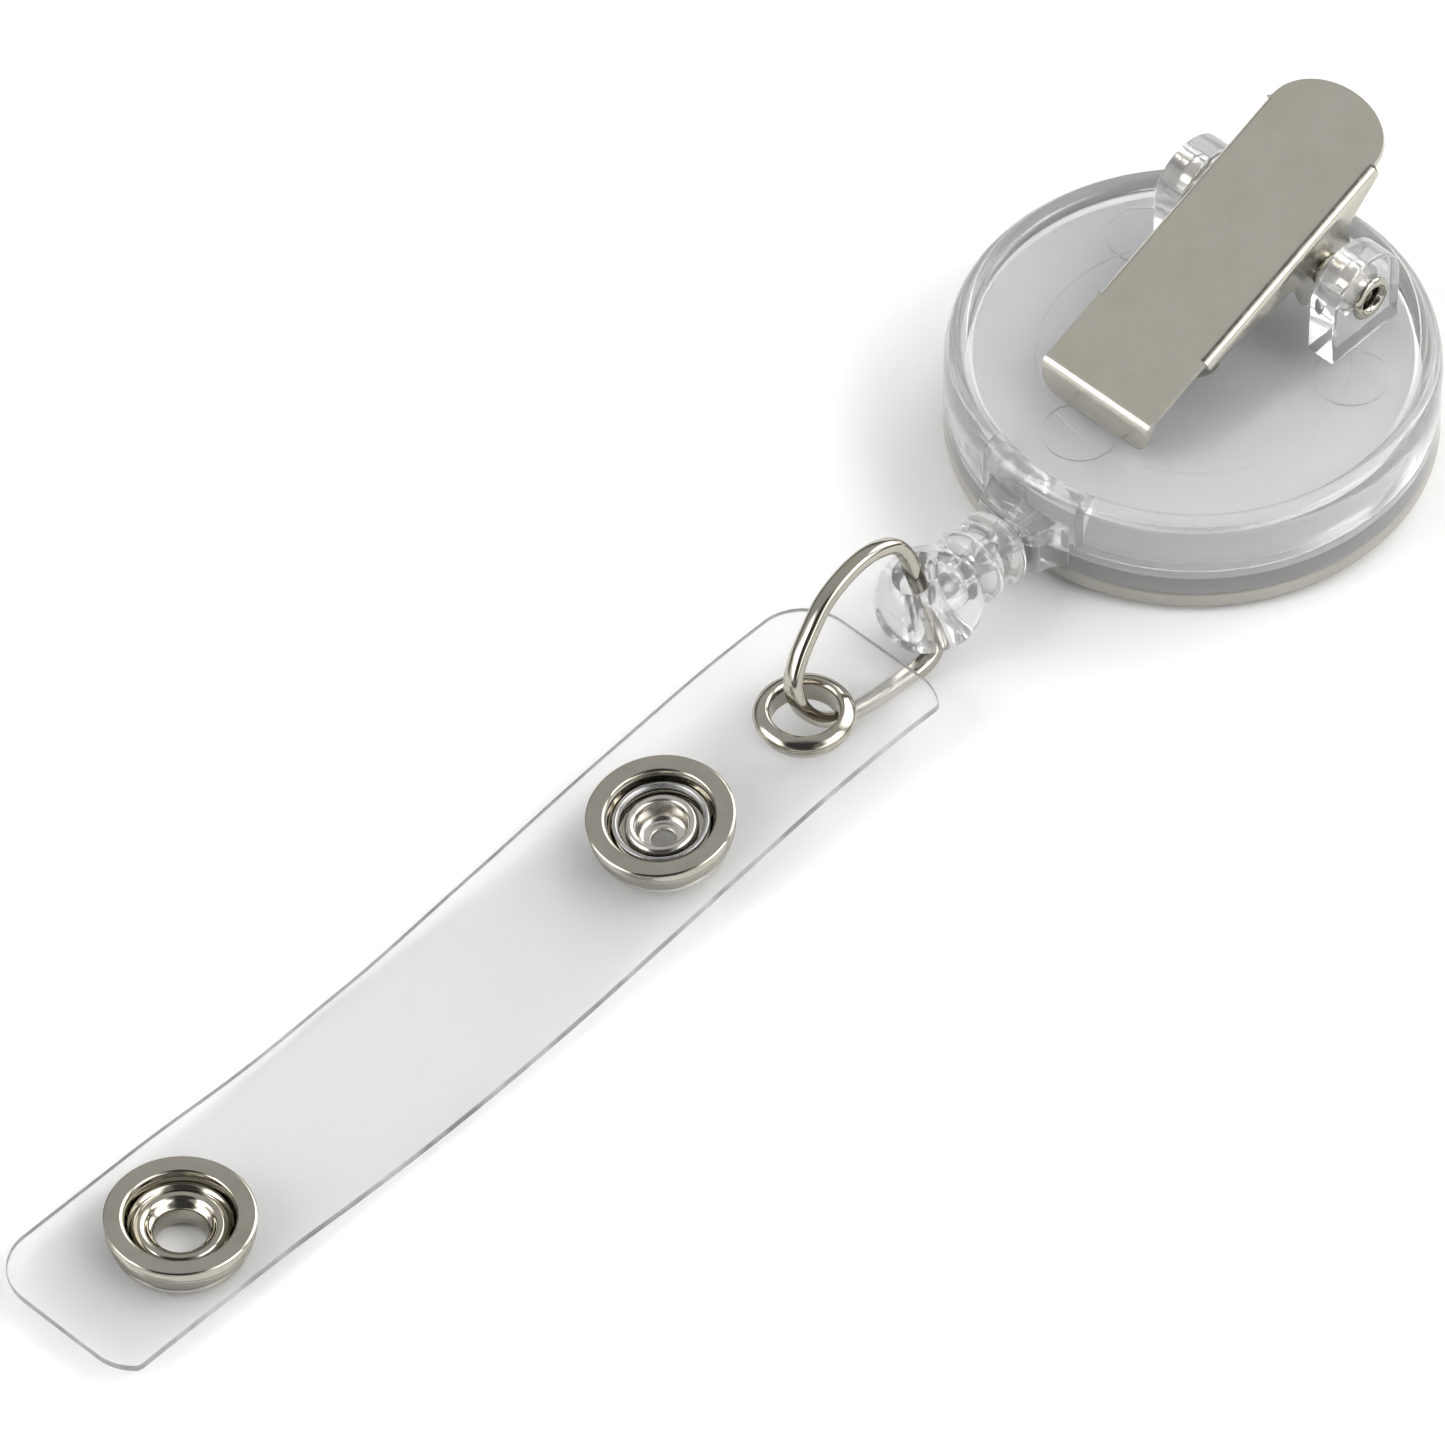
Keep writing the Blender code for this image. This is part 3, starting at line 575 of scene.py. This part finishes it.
def make_back():
    """The clear back half: band, round rim, disc and the clip's two ears."""
    inner = CASE_R - WALL
    outline = [(inner, SEAM_Z), (CASE_R, SEAM_Z), (CASE_R, SHOULDER_Z), *rim_curve()]
    outline += [(RIM_INNER, BACK_FLOOR), (0, BACK_FLOOR), (0, SHOULDER_Z), (inner, SHOULDER_Z)]
    shell = raw("back_shell_looks", turned("back", outline, CASE_STEPS))
    half = SECTOR_HALF + GAP
    angle = math.degrees(math.asin(half / RIM_INNER))
    notch = arc((0, 0), RIM_INNER, -angle, angle, 16) + [(20, half), (20, -half)]
    combine(shell, prism("notch", notch, 2, 9), "DIFFERENCE")
    add_ejector_marks(shell)
    for side in (-1, 1):
        add_ear(shell, side)
    hole = [(0, -12), (PIN_R + GAP, -12), (PIN_R + GAP, 12), (0, 12)]
    combine(shell, along_y(turned("hole", hole, 40), PIN_X, 0, PIN_Z), "DIFFERENCE")
    finished(shell, CLEAR_RIM, "case", ["back_shell"])
    edge, top = (RIM_INNER + 0.02) * MM, (BACK_FLOOR + 0.02) * MM
    repaint(shell, CLEAR_DISC, lambda face: face.center.xy.length < edge and face.center.z < top)


def make_works():
    """The spool with its two flanges, and the wound cord as a ring with rounded layers."""
    hub, flange, wall = 8.2, 0.5, 0.7
    under, over = SPOOL_LOW + flange, SPOOL_HIGH - flange
    bore, groove, groove_half, depth = 1.75, 10.025, 0.125, 0.08
    outline = [(hub - wall, SPOOL_LOW), (SPOOL_R, SPOOL_LOW), (SPOOL_R, under), (hub, under)]
    outline += [(hub, over), (SPOOL_R, over), (SPOOL_R, SPOOL_HIGH)]
    outline += [(groove + groove_half, SPOOL_HIGH), (groove + 0.075, SPOOL_HIGH - depth)]
    outline += [(groove - 0.075, SPOOL_HIGH - depth), (groove - groove_half, SPOOL_HIGH)]
    outline += [(bore, SPOOL_HIGH), (bore, over), (hub - wall, over)]
    spool = turned("spool", outline, 160)
    # The spool takes the lightened grey: painted light against the shade inside the case.
    piece("spool_looks", spool, GREY, "spool_body", ["spool"])
    start, end, layers = under + 0.1, over - 0.1, 3
    rows = [(hub + 0.1, start)]
    for layer in range(layers):
        centre = start + (end - start) * (layer + 0.5) / layers
        bulge = arc((0, centre), (end - start) / layers / 2, -80, 80, 6)
        rows += [(WOUND_R - 0.4 + x * 0.4, y) for x, y in bulge]
    rows.append((hub + 0.1, end))
    winding = turned("winding", rows, 96)
    piece("winding_looks", winding, CORD, "spool_body", ["cord_winding"])


def finish_power_spring():
    """The power spring is hidden in the spool: it keeps its CAD shape and gets a steel finish."""
    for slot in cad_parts["power_spring"].material_slots:
        slot.material = WIRE.material


# ---------------------------------------------------------------- cord, bead and ring


def make_cord():
    """From the winding to the neck, a straight piece through the neck, and the knot."""
    leave, edge = WOUND_R + 0.6, 14.4
    turn = math.acos(WOUND_R / edge)
    lead = [(leave * math.cos(turn), -leave * math.sin(turn), NECK_Z + 0.9)]
    lead += [(12.95, -3.4, NECK_Z + 0.55), (14.0, -1.15, NECK_Z + 0.15)]
    lead += [(14.9, -0.12, NECK_Z), (EXIT_X, 0, NECK_Z)]
    lead = tube("lead", spline(lead, 8), CORD_R)
    piece("cord_lead_looks", lead, CORD, "case", ["cord_lead"])
    count, end = 60, 23.25
    straight = []
    for index in range(count + 1):
        straight.append(Vector((EXIT_X + (end - EXIT_X) * index / count, 0, NECK_Z)))
    run = piece("cord_run_looks", tube("run", straight, CORD_R), CORD, None)
    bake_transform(run)
    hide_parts("cord_run")
    knot = [(0, 23.45), (0.5, 23.4)]
    for centre in (23.75, 24.45):
        knot += [(CORD_R + x, y) for x, y in arc((0, centre), 0.38, -80, 80, 8)]
    knot += [(0.4, 24.85), (0, 24.88)]
    knot = along_x(turned("knot", knot, 32), NECK_Z)
    piece("cord_knot_looks", knot, CORD, "cord_end", ["cord_knot"])


def make_bead():
    """A clear ball with a short collar, the cord's blind bore and the ring's flared hole."""
    radius, start, centre = 3.5, 22.3, 24.85
    outline = [(0, start), (1.5, start), (1.9, start + 0.35)]
    outline += arc((0, centre), radius, -39, 62, 40)
    outline += [(1.2, centre + radius - 0.34), (0, centre + radius - 0.4)]
    bead = raw("end_bead_looks", along_x(turned("bead", outline, 96), NECK_Z))
    cord, knot = 0.6, 1.05
    bore = [(0, 22), (cord, 22), (cord, 23.3), (knot, 23.4), (knot, 25.2), (0, 25.2)]
    combine(bead, along_x(turned("bead_bore", softened(bore, 0.2), 40), NECK_Z), "DIFFERENCE")
    waist, flare, reach, steps = 1.1, 2.1, 3.4, 16
    hole = [(0, -5), (flare + 0.6, -5)]
    for step in range(-steps, steps + 1):
        along = step * reach / steps
        hole.append((waist + (flare - waist) * (along / reach) ** 2, along))
    hole += [(flare + 0.6, 5), (0, 5)]
    turn = Vector((0, 0, 1)).rotation_difference(HOLE_AXIS).to_matrix().to_4x4()
    hole = placed(turned("ring_hole", hole, 48), Matrix.Translation(HOLE) @ turn)
    combine(bead, hole, "DIFFERENCE")
    finished(bead, CLEAR_BEAD, "bead", ["end_bead"])


def make_ring():
    """The closed wire ring; its wire is a little flattened, with full corners."""
    knots = [(11.45, -1.2), (10.6, 0.15), (9.3, 1.3), (7.3, 2.65), (4.9, 3.35), (2.8, 3.4)]
    knots += [(1.1, 2.8), (0.3, 1.7), (0.0, 0.0), (-0.22, -2.6), (-0.38, -4.9), (0.2, -6.2)]
    knots += [(1.6, -6.65), (4.3, -6.5), (6.8, -6.2), (8.7, -5.7), (10.3, -4.6), (11.3, -3.0)]
    thin, wide, fullness, sides = 0.50, 0.63, 2.9, 24
    route = spline(knots, 12, closed=True)
    normal = ACROSS.cross(UP)
    rows = []
    for index, point in enumerate(route):
        ahead = (route[(index + 1) % len(route)] - route[index - 1]).normalized()
        outward = ACROSS * ahead.y - UP * ahead.x
        centre = CORNER + ACROSS * point.x + UP * point.y
        row = []
        for corner in range(sides):
            angle = 2 * math.pi * corner / sides
            c, s = math.cos(angle), math.sin(angle)
            swell = (abs(c) ** fullness + abs(s) ** fullness) ** (-1 / fullness)
            row.append(centre + outward * thin * c * swell + normal * wide * s * swell)
        rows.append(row)
    ring = loft("ring", rows, closed=True)
    piece("ring_looks", ring, NICKEL, "ring_body", ["ring"], 50)


# ---------------------------------------------------------------- strap and snaps


def strap_height(x):
    """Height of the strap's middle layer above the table, from heights at even steps along it."""
    first, pitch = 28, 6.0
    route = [2.62, 2.87, 2.8, 2.28, 1.68, 1.12, 0.62, 0.34, 0.32, 0.5, 0.85, 1.0, 1.02, 1.0]
    last = len(route) - 1
    place = min(max((x - first) / pitch, 0.0), last - 0.001)
    index = int(place)
    steers = (route[max(0, min(last, index + step))] for step in (-1, 0, 1, 2))
    return between(*steers, place - index)


def strap_frame(place):
    """Where a point of the strap is, and how the strap tilts there."""
    x, y = place
    slope = math.atan2(strap_height(x + 0.5) - strap_height(x - 0.5), 1.0)
    return Matrix.Translation((x, y, strap_height(x))) @ Matrix.Rotation(-slope, 4, "Y")


def strap_stations(length, corner):
    """Distances along the strap, closer together round the corners at both ends."""
    ends, spans = 14, 130
    start = [corner * (1 - math.cos(math.pi / 2 * index / ends)) for index in range(ends)]
    inner = [corner + (length - 2 * corner) * index / spans for index in range(spans + 1)]
    return start + inner + [length - station for station in reversed(start)]


def make_strap():
    """The clear strap as one sheet, with sharper corners on its +Y side as in the photo."""
    left_edge = [(29, -6.8), (41, -6.8), (50, -6.9), (60, -6.8), (71, -6.62), (80, -6.45)]
    left_edge += [(90, -6.55), (103, -6.6)]
    right_edge = [(29, 6.15), (50, 6.2), (71, 6.25), (90, 6.05), (103, 5.95)]
    corner, sharper, edge = 3.4, 0.9, STRAP_T / 2
    columns, worn, border = 26, 0.12, 0.10
    length = STRAP_END - STRAP_START
    rows = []
    for station in strap_stations(length, corner):
        x = STRAP_START + station
        reach = min(station, length - station)
        inset = 0.0
        if reach < corner:
            inset = corner - math.sqrt(max(corner**2 - (corner - reach) ** 2, 0))
        left, right = eased(x, left_edge) + inset, eased(x, right_edge) - max(inset - sharper, 0)
        top, bottom = [], []
        for column in range(columns + 1):
            y = left + (right - left) * column / columns
            ripple = 0.07 * noise.noise((x * 0.09, y * 0.13, 2.0)) * min(1, (x - 28) / 8)
            height = strap_height(x) + ripple
            soft = worn if column in (0, columns) else 0.0
            top.append(Vector((x, y, height + edge - soft)))
            bottom.append(Vector((x, y, height - edge + soft)))
        for line in (top, bottom):
            line[1].y = line[0].y + border
            line[columns - 1].y = line[columns].y - border
        rows.append(top + bottom[::-1])
    strap = raw("strap_looks", loft("strap", rows))
    for place, radius in ((EYELET, 2.62), (SOCKET, 2.02), (STUD, 2.02)):
        cutter = turned("rivet_hole", [(0, -3), (radius, -3), (radius, 3), (0, 3)], 48)
        combine(strap, placed(cutter, strap_frame(place)), "DIFFERENCE")
    finished(strap, VINYL, None, angle=40)
    # The side faces take the darker vinyl copy: painted shade along the strap's edges.
    repaint(strap, VINYL_EDGE_SHADE, lambda face: abs(face.normal.z) < 0.7)
    fold, height, ease = FOLD_X * MM, 0.0027, 3.9 * MM
    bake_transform(strap)
    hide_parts("strap_eyelet_half", "strap_snap_half")


def on_strap(name, outline, radius, place, finish, body, node):
    """A turned part with softened corners, set square on the strap."""
    mesh = placed(turned(name, softened(outline, radius, 5), 128), strap_frame(place))
    piece(name, mesh, finish, body, [node])


def make_eyelet():
    """A low rolled flange, highest round its inner lip, and the washer under the strap."""
    seat, foot, lip = STRAP_T / 2 + 0.03, -SEAT - 0.35, 2.15
    barrel, edge, flange = 2.55, 2.95, 3.3
    outline = [(lip, foot), (lip, seat + 0.35), (lip + 0.1, seat + 0.66), (lip + 0.3, seat + 0.8)]
    outline += [(lip + 0.5, seat + 0.76), (edge, seat + 0.62), (flange - 0.1, seat + 0.42)]
    outline += [(flange, seat + 0.14), (flange - 0.05, seat), (barrel, seat), (barrel, foot)]
    on_strap("eyelet_looks", outline, 0.12, EYELET, NICKEL, "strap", "eyelet")
    washer = [(barrel + GAP, -seat), (edge, -seat), (edge - 0.1, foot), (barrel + GAP, foot)]
    on_strap("eyelet_washer_looks", washer, 0.12, EYELET, NICKEL, "strap", "eyelet_washer")


def snap_cup():
    """The cup that both snaps share: a wide flat rim over a rounded wall, open in the middle."""
    hole, rim, top = 2.0, 4.75, SEAT + 1.6
    floor, base = SEAT + 0.25, STRAP_T / 2 + 0.04
    inside = [(hole, floor), (3.0, floor), (3.32, SEAT + 0.6), (3.42, top - 0.36)]
    face = [(3.52, top - 0.1), (3.7, top - 0.02), (rim - 0.15, top), (rim, top - 0.1)]
    lip = [(rim - 0.02, top - 0.2), (rim - 0.22, top - 0.3), (rim - 0.2, top - 0.42)]
    wall = [(rim - 0.06, top - 0.75), (rim - 0.06, top - 1.1), (rim - 0.16, SEAT + 0.1)]
    return inside + face + lip + wall + [(rim - 0.2, base), (hole, base)]


def post_base(bore):
    """The flanged dish under the strap and the tube that passes up through it."""
    rim, bottom, top = 4.3, -SEAT - 0.5, -STRAP_T / 2 - 0.04
    dish = [(bore, bottom), (rim - 0.5, bottom), (rim, -SEAT - 0.25), (rim - 0.05, top)]
    return dish + [(POST_OUTER, top), (POST_OUTER, SEAT + 0.3)]


def make_snaps():
    """The near snap's cup, ring spring and post, and the far snap's cup and stepped post."""
    cup = snap_cup()
    on_strap("socket_cup_looks", cup, 0.14, SOCKET, NICKEL, "strap", "socket_cup")
    spring = [(2.62, SEAT + 0.72), (2.86, SEAT + 0.56), (3.1, SEAT + 0.72)]
    spring += [(3.12, SEAT + 0.98), (2.86, SEAT + 1.08)]
    on_strap(
        "socket_spring_looks", spring, 0.16, SOCKET, WIRE, "strap", "socket_spring"
    )
    bore = 0.75
    post = post_base(bore) + [(2.28, SEAT + 0.4), (2.35, SEAT + 0.62), (2.1, SEAT + 0.85)]
    post += [(1.75, SEAT + 0.74), (1.65, SEAT + 0.4), (1.62, -SEAT + 0.1)]
    post += [(1.3, -SEAT - 0.1), (bore, -SEAT - 0.14)]
    on_strap("socket_post_looks", post, 0.14, SOCKET, NICKEL_FACE, "strap", "socket_post")
    on_strap("stud_cup_looks", cup, 0.14, STUD, NICKEL, "strap_tip", "stud_cup")
    bore = 1.6
    post = post_base(bore) + [(2.8, SEAT + 0.34), (2.9, SEAT + 0.5), (2.6, SEAT + 0.72)]
    post += [(2.25, SEAT + 0.62), (2.02, SEAT + 0.3), (1.72, SEAT + 0.1), (bore, -SEAT + 0.1)]
    on_strap("stud_post_looks", post, 0.14, STUD, NICKEL, "strap_tip", "stud_post")


# ---------------------------------------------------------------- spring clip


def lever_section(right_out, right_in):
    """One closed cut across the lever's sheet, from its right half."""
    left_out = [(-x, z) for x, z in reversed(right_out)]
    left_in = [(-x, z) for x, z in right_in]
    return left_out + right_out + right_in[::-1] + left_in


def flat_section(width):
    """A flat cut, with its points where the bent cut has them."""
    shares = [1 - (BEND_REACH + SUPPORT) / LEVER_HALF]
    for step in range(BEND_STEPS + 2):
        shares.append(1 - BEND_REACH / LEVER_HALF * (1 - step / (BEND_STEPS + 1)))
    outside = [(width * share, 0.0) for share in shares]
    return lever_section(outside, [(width * share, -SHEET) for share in shares])


def bent_section(depth):
    """A cut with both side flanges, which lean in a little and reach down so far."""
    width = LEVER_HALF
    outside = [(width - BEND_REACH - SUPPORT, 0.0)]
    inside = [(width - BEND_REACH - SUPPORT, -SHEET)]
    for step in range(BEND_STEPS + 1):
        angle = math.radians(90 - 98 * step / BEND_STEPS)
        c, s = math.cos(angle), math.sin(angle)
        outside.append((width - BEND_REACH + BEND * c, -BEND + BEND * s))
        radius = BEND - SHEET
        inside.append((width - BEND_REACH + radius * c, -BEND + radius * s))
    slant = math.tan(FLANGE_LEAN)
    outside.append((width - depth * slant, -depth))
    inside.append((width - SHEET / math.cos(FLANGE_LEAN) - depth * slant, -depth))
    return lever_section(outside, inside)


def flange_depth(along, pin_along, pin_down):
    """How far the lever's side flange reaches below its top at a distance from the jaw."""
    lobe, before, after = 3.0, 2.62, 2.46
    narrow, growing = 1.2, 7.2
    if along < pin_along - before:
        grown = eased(along, [(5.8, 1.0), (growing, narrow), (pin_along - 2.6, 3.1)])
        return min(grown, narrow + max(along - growing, 0) * 0.272)
    if along < pin_along + after:
        return pin_down + math.sqrt(max(lobe**2 - (along - pin_along) ** 2, 0))
    return max(3.03 - (along - pin_along - after) * 0.592, 0.9)


def lip_rows():
    """The jaw's lip with its round corners, and the bend that leads it into the plate."""
    rows = []
    lip, corner, fillet, steps = 2.45, 1.3, 0.7, 8
    for index in range(steps + 1):
        turn = math.pi / 2 * index / steps
        drop = lip - corner * (1 - math.cos(turn))
        width = JAW_HALF - corner + corner * math.sin(turn)
        place = Vector((JAW_X, CLIP_Y, JAW_Z - drop))
        rows.append((place, Vector((1, 0, 0)), flat_section(width)))
    turn = math.pi / 2 - SLOPE
    centre = Vector((JAW_X - fillet, CLIP_Y, JAW_Z - fillet * math.tan(turn / 2)))
    for index in range(steps + 1):
        angle = turn * index / steps
        facing = Vector((math.cos(angle), 0, math.sin(angle)))
        rows.append((centre + facing * fillet, facing, flat_section(JAW_HALF)))
    return rows


def plate_rows():
    """The plate, the stretch with side flanges, and the rounded thumb tab."""
    direction = Vector((-math.cos(SLOPE), 0, math.sin(SLOPE)))
    outward = Vector((math.sin(SLOPE), 0, math.cos(SLOPE)))
    origin = Vector((JAW_X, CLIP_Y, JAW_Z))
    to_pin = Vector((PIN_X - JAW_X, 0, PIN_Z - JAW_Z))
    pin_along, pin_down = to_pin.dot(direction), -to_pin.dot(outward)
    widths = [(1.0, JAW_HALF), (3.0, JAW_HALF), (5.5, JAW_HALF), (5.6, 4.52), (5.78, 4.7)]
    plate = [(along, flat_section(width)) for along, width in widths]
    first, last, count = 5.8, 22.7, 64
    for index in range(count + 1):
        along = first + (last - first) * index / count
        plate.append((along, bent_section(flange_depth(along, pin_along, pin_down))))
    tab, tab_length, steps = 23.0, 3.1, 16
    widths = [(22.72, 4.7), (22.9, 4.45), (tab, 4.42)]
    for index in range(1, steps + 1):
        angle = math.pi / 2 * index / steps
        width = max(TAB_HALF * math.cos(angle), 0.02)
        widths.append((tab + tab_length * math.sin(angle), width))
    plate += [(along, flat_section(width)) for along, width in widths]
    return [(origin + direction * along, outward, section) for along, section in plate]


def make_lever():
    """The bent lever, as a loft of cuts from the jaw's lip to the thumb tab."""
    loops = []
    for place, facing, section in lip_rows() + plate_rows():
        loops.append([place + Vector((0, across, 0)) + facing * up for across, up in section])
    lever = raw("clip_lever_looks", loft("lever", loops))
    radius, reach = PIN_R + 0.06, 8
    hole = [(0, -reach), (radius, -reach), (radius, reach), (0, reach)]
    combine(lever, along_y(turned("hole", hole, 40), PIN_X, 0, PIN_Z), "DIFFERENCE")
    finished(lever, LEVER, "clip", ["clip_lever"], 38)


def make_rivet():
    """The hollow rivet, rolled over at both ends."""
    end, bore, head, recess = EAR_OUT + GAP, 0.78, 1.6, 0.9
    half = [(PIN_R, end), (head - 0.12, end), (head, end + 0.16), (head - 0.1, end + 0.36)]
    half += [(head - 0.38, end + 0.47), (bore + 0.16, end + 0.4), (bore, end + 0.1)]
    half += [(bore, end - recess), (0, end - recess)]
    outline = half + [(r, -z) for r, z in reversed(half)]
    mesh = along_y(turned("rivet", softened(outline, 0.12), 64), PIN_X, CLIP_Y, PIN_Z)
    piece("clip_rivet_looks", mesh, NICKEL, "case", ["clip_rivet"])


def make_spring():
    """The clip's torsion spring: one leg on the disc, the coil round the rivet, one leg up."""
    wire, coil, turns, per_turn = 0.32, 1.75, 5, 28
    width = 4.4
    side = CLIP_Y - width / 2
    count = int((turns - 1 / 3) * per_turn)
    foot = Vector((PIN_X + 4.6, side, BACK_FLOOR + wire + 0.15))
    points = [foot, foot.lerp(Vector((PIN_X + 0.9, side, PIN_Z - 1.9)), 0.9)]
    for index in range(count + 1):
        angle = math.radians(-75) - 2 * math.pi * index / per_turn
        y = side + width * index / count
        x, z = PIN_X + coil * math.cos(angle), PIN_Z + coil * math.sin(angle)
        points.append(Vector((x, y, z)))
    along, down = 14.2, SHEET + wire + 0.2
    tip_x = JAW_X - along * math.cos(SLOPE) - down * math.sin(SLOPE)
    tip_z = JAW_Z + along * math.sin(SLOPE) - down * math.cos(SLOPE)
    points.append(Vector((tip_x, CLIP_Y + width / 2, tip_z)))
    spring = tube("spring", points, wire, 14)
    piece("clip_spring_looks", spring, WIRE, "case", ["clip_spring"])


# ---------------------------------------------------------------- studio


def make_camera():
    """The photo's own view: from far off, with the object to the right of and above the middle."""
    target = Vector((28.0, 0, 2.0)) * MM
    azimuth, elevation, distance = math.radians(43.061), math.radians(48.743), 0.83507
    view, shift_right, shift_up = 91.5043 * MM, 10.9071 * MM, 4.9938 * MM
    level = math.cos(elevation)
    back = Vector((level * math.cos(azimuth), level * math.sin(azimuth), math.sin(elevation)))
    right = Vector((-math.sin(azimuth), math.cos(azimuth), 0))
    up = back.cross(right)
    aim = target - right * shift_right - up * shift_up
    camera = bpy.data.objects.new("camera", bpy.data.cameras.new("camera"))
    bpy.context.collection.objects.link(camera)
    camera.location = target + back * distance
    facing = (aim - camera.location).normalized()
    side = facing.cross(up).normalized()
    turn = Matrix((side, side.cross(facing), -facing)).transposed()
    camera.rotation_mode = "QUATERNION"
    camera.rotation_quaternion = turn.to_quaternion()
    sensor = 36
    camera.data.sensor_width = sensor
    camera.data.lens = sensor * distance / view
    camera.data.clip_start = 0.01
    bpy.context.scene.camera = camera


def make_floor():
    """A wide sheet of white paper, just under the reel."""
    bm = bmesh.new()
    bmesh.ops.create_grid(bm, x_segments=1, y_segments=1, size=12)
    floor = raw("floor", mesh_of(bm, "floor"))
    floor.location = (0, 0, -0.0002)
    paper = Finish("floor_paper", (0.93, 0.93, 0.93), 0.9)
    paper.colours(paper.grain(0.02, 3), (0.925, 0.925, 0.925), (0.935, 0.935, 0.935))
    floor.data.materials.append(paper.material)


def patch(nodes, links, direction, outer, inner, outside, inside):
    """A sky that goes softly from one grey to another round a direction, between two cosines."""
    coordinates = nodes.new("ShaderNodeTexCoord")
    dot = nodes.new("ShaderNodeVectorMath")
    dot.operation = "DOT_PRODUCT"
    dot.inputs[1].default_value = Vector(direction).normalized()
    links.new(coordinates.outputs["Generated"], dot.inputs[0])
    node = mapped(nodes, links, dot.outputs["Value"], outer, inner, outside, inside)
    node.interpolation_type = "SMOOTHSTEP"
    return node.outputs["Result"]


def combined(nodes, links, operation, values):
    """Adds up or multiplies a list of values."""
    total = values[0]
    for value in values[1:]:
        node = nodes.new("ShaderNodeMath")
        node.operation = operation
        links.new(total, node.inputs[0])
        links.new(value, node.inputs[1])
        total = node.outputs["Value"]
    return total


def make_world():
    """A pale grey studio with three soft boxes, darker behind the camera and along the horizon."""
    world = bpy.data.worlds.new("studio")
    bpy.context.scene.world = world
    world.use_nodes = True
    nodes, links = world.node_tree.nodes, world.node_tree.links
    background = nodes["Background"]
    pale, bright = 0.62, 3.0
    boxes = [
        patch(nodes, links, (-0.12, 0.84, 0.52), 0.80, 0.92, pale, bright),
        patch(nodes, links, (0.80, -0.45, 0.42), 0.86, 0.95, 0, bright),
        patch(nodes, links, (-0.90, 0.05, 0.45), 0.84, 0.94, 0, bright),
    ]
    dark = [
        patch(nodes, links, (0.482, 0.450, 0.752), 0.78, 0.90, 1, 0.12),
        patch(nodes, links, (0, 0, -1), -0.34, -0.16, 1, 0.30),
    ]
    light = combined(nodes, links, "MULTIPLY", [combined(nodes, links, "ADD", boxes), *dark])
    background.inputs["Color"].default_value = (1.0, 0.995, 0.98, 1)
    links.new(light, background.inputs["Strength"])


def make_light(name, place, size, power):
    """A soft lamp that faces the middle of the object."""
    target = Vector((0.03, 0, 0))
    light = bpy.data.lights.new(name, "AREA")
    light.shape = "RECTANGLE"
    light.size, light.size_y = size
    light.energy = power
    lamp = bpy.data.objects.new(name, light)
    lamp.location = place
    lamp.rotation_mode = "QUATERNION"
    lamp.rotation_quaternion = (Vector(place) - target).to_track_quat("Z", "Y")
    bpy.context.collection.objects.link(lamp)


make_front()
make_back()
make_works()
make_cord()
make_bead()
make_ring()
make_strap()
make_eyelet()
make_snaps()
make_lever()
make_rivet()
make_spring()
finish_power_spring()
make_floor()
make_world()
make_light("key", (-0.35, 0.55, 0.75), size=(0.34, 0.34), power=1.3)
make_light("fill", (0.75, -0.35, 0.55), size=(0.14, 0.5), power=0.7)
make_camera()
bpy.context.scene.view_settings.view_transform = "Standard"
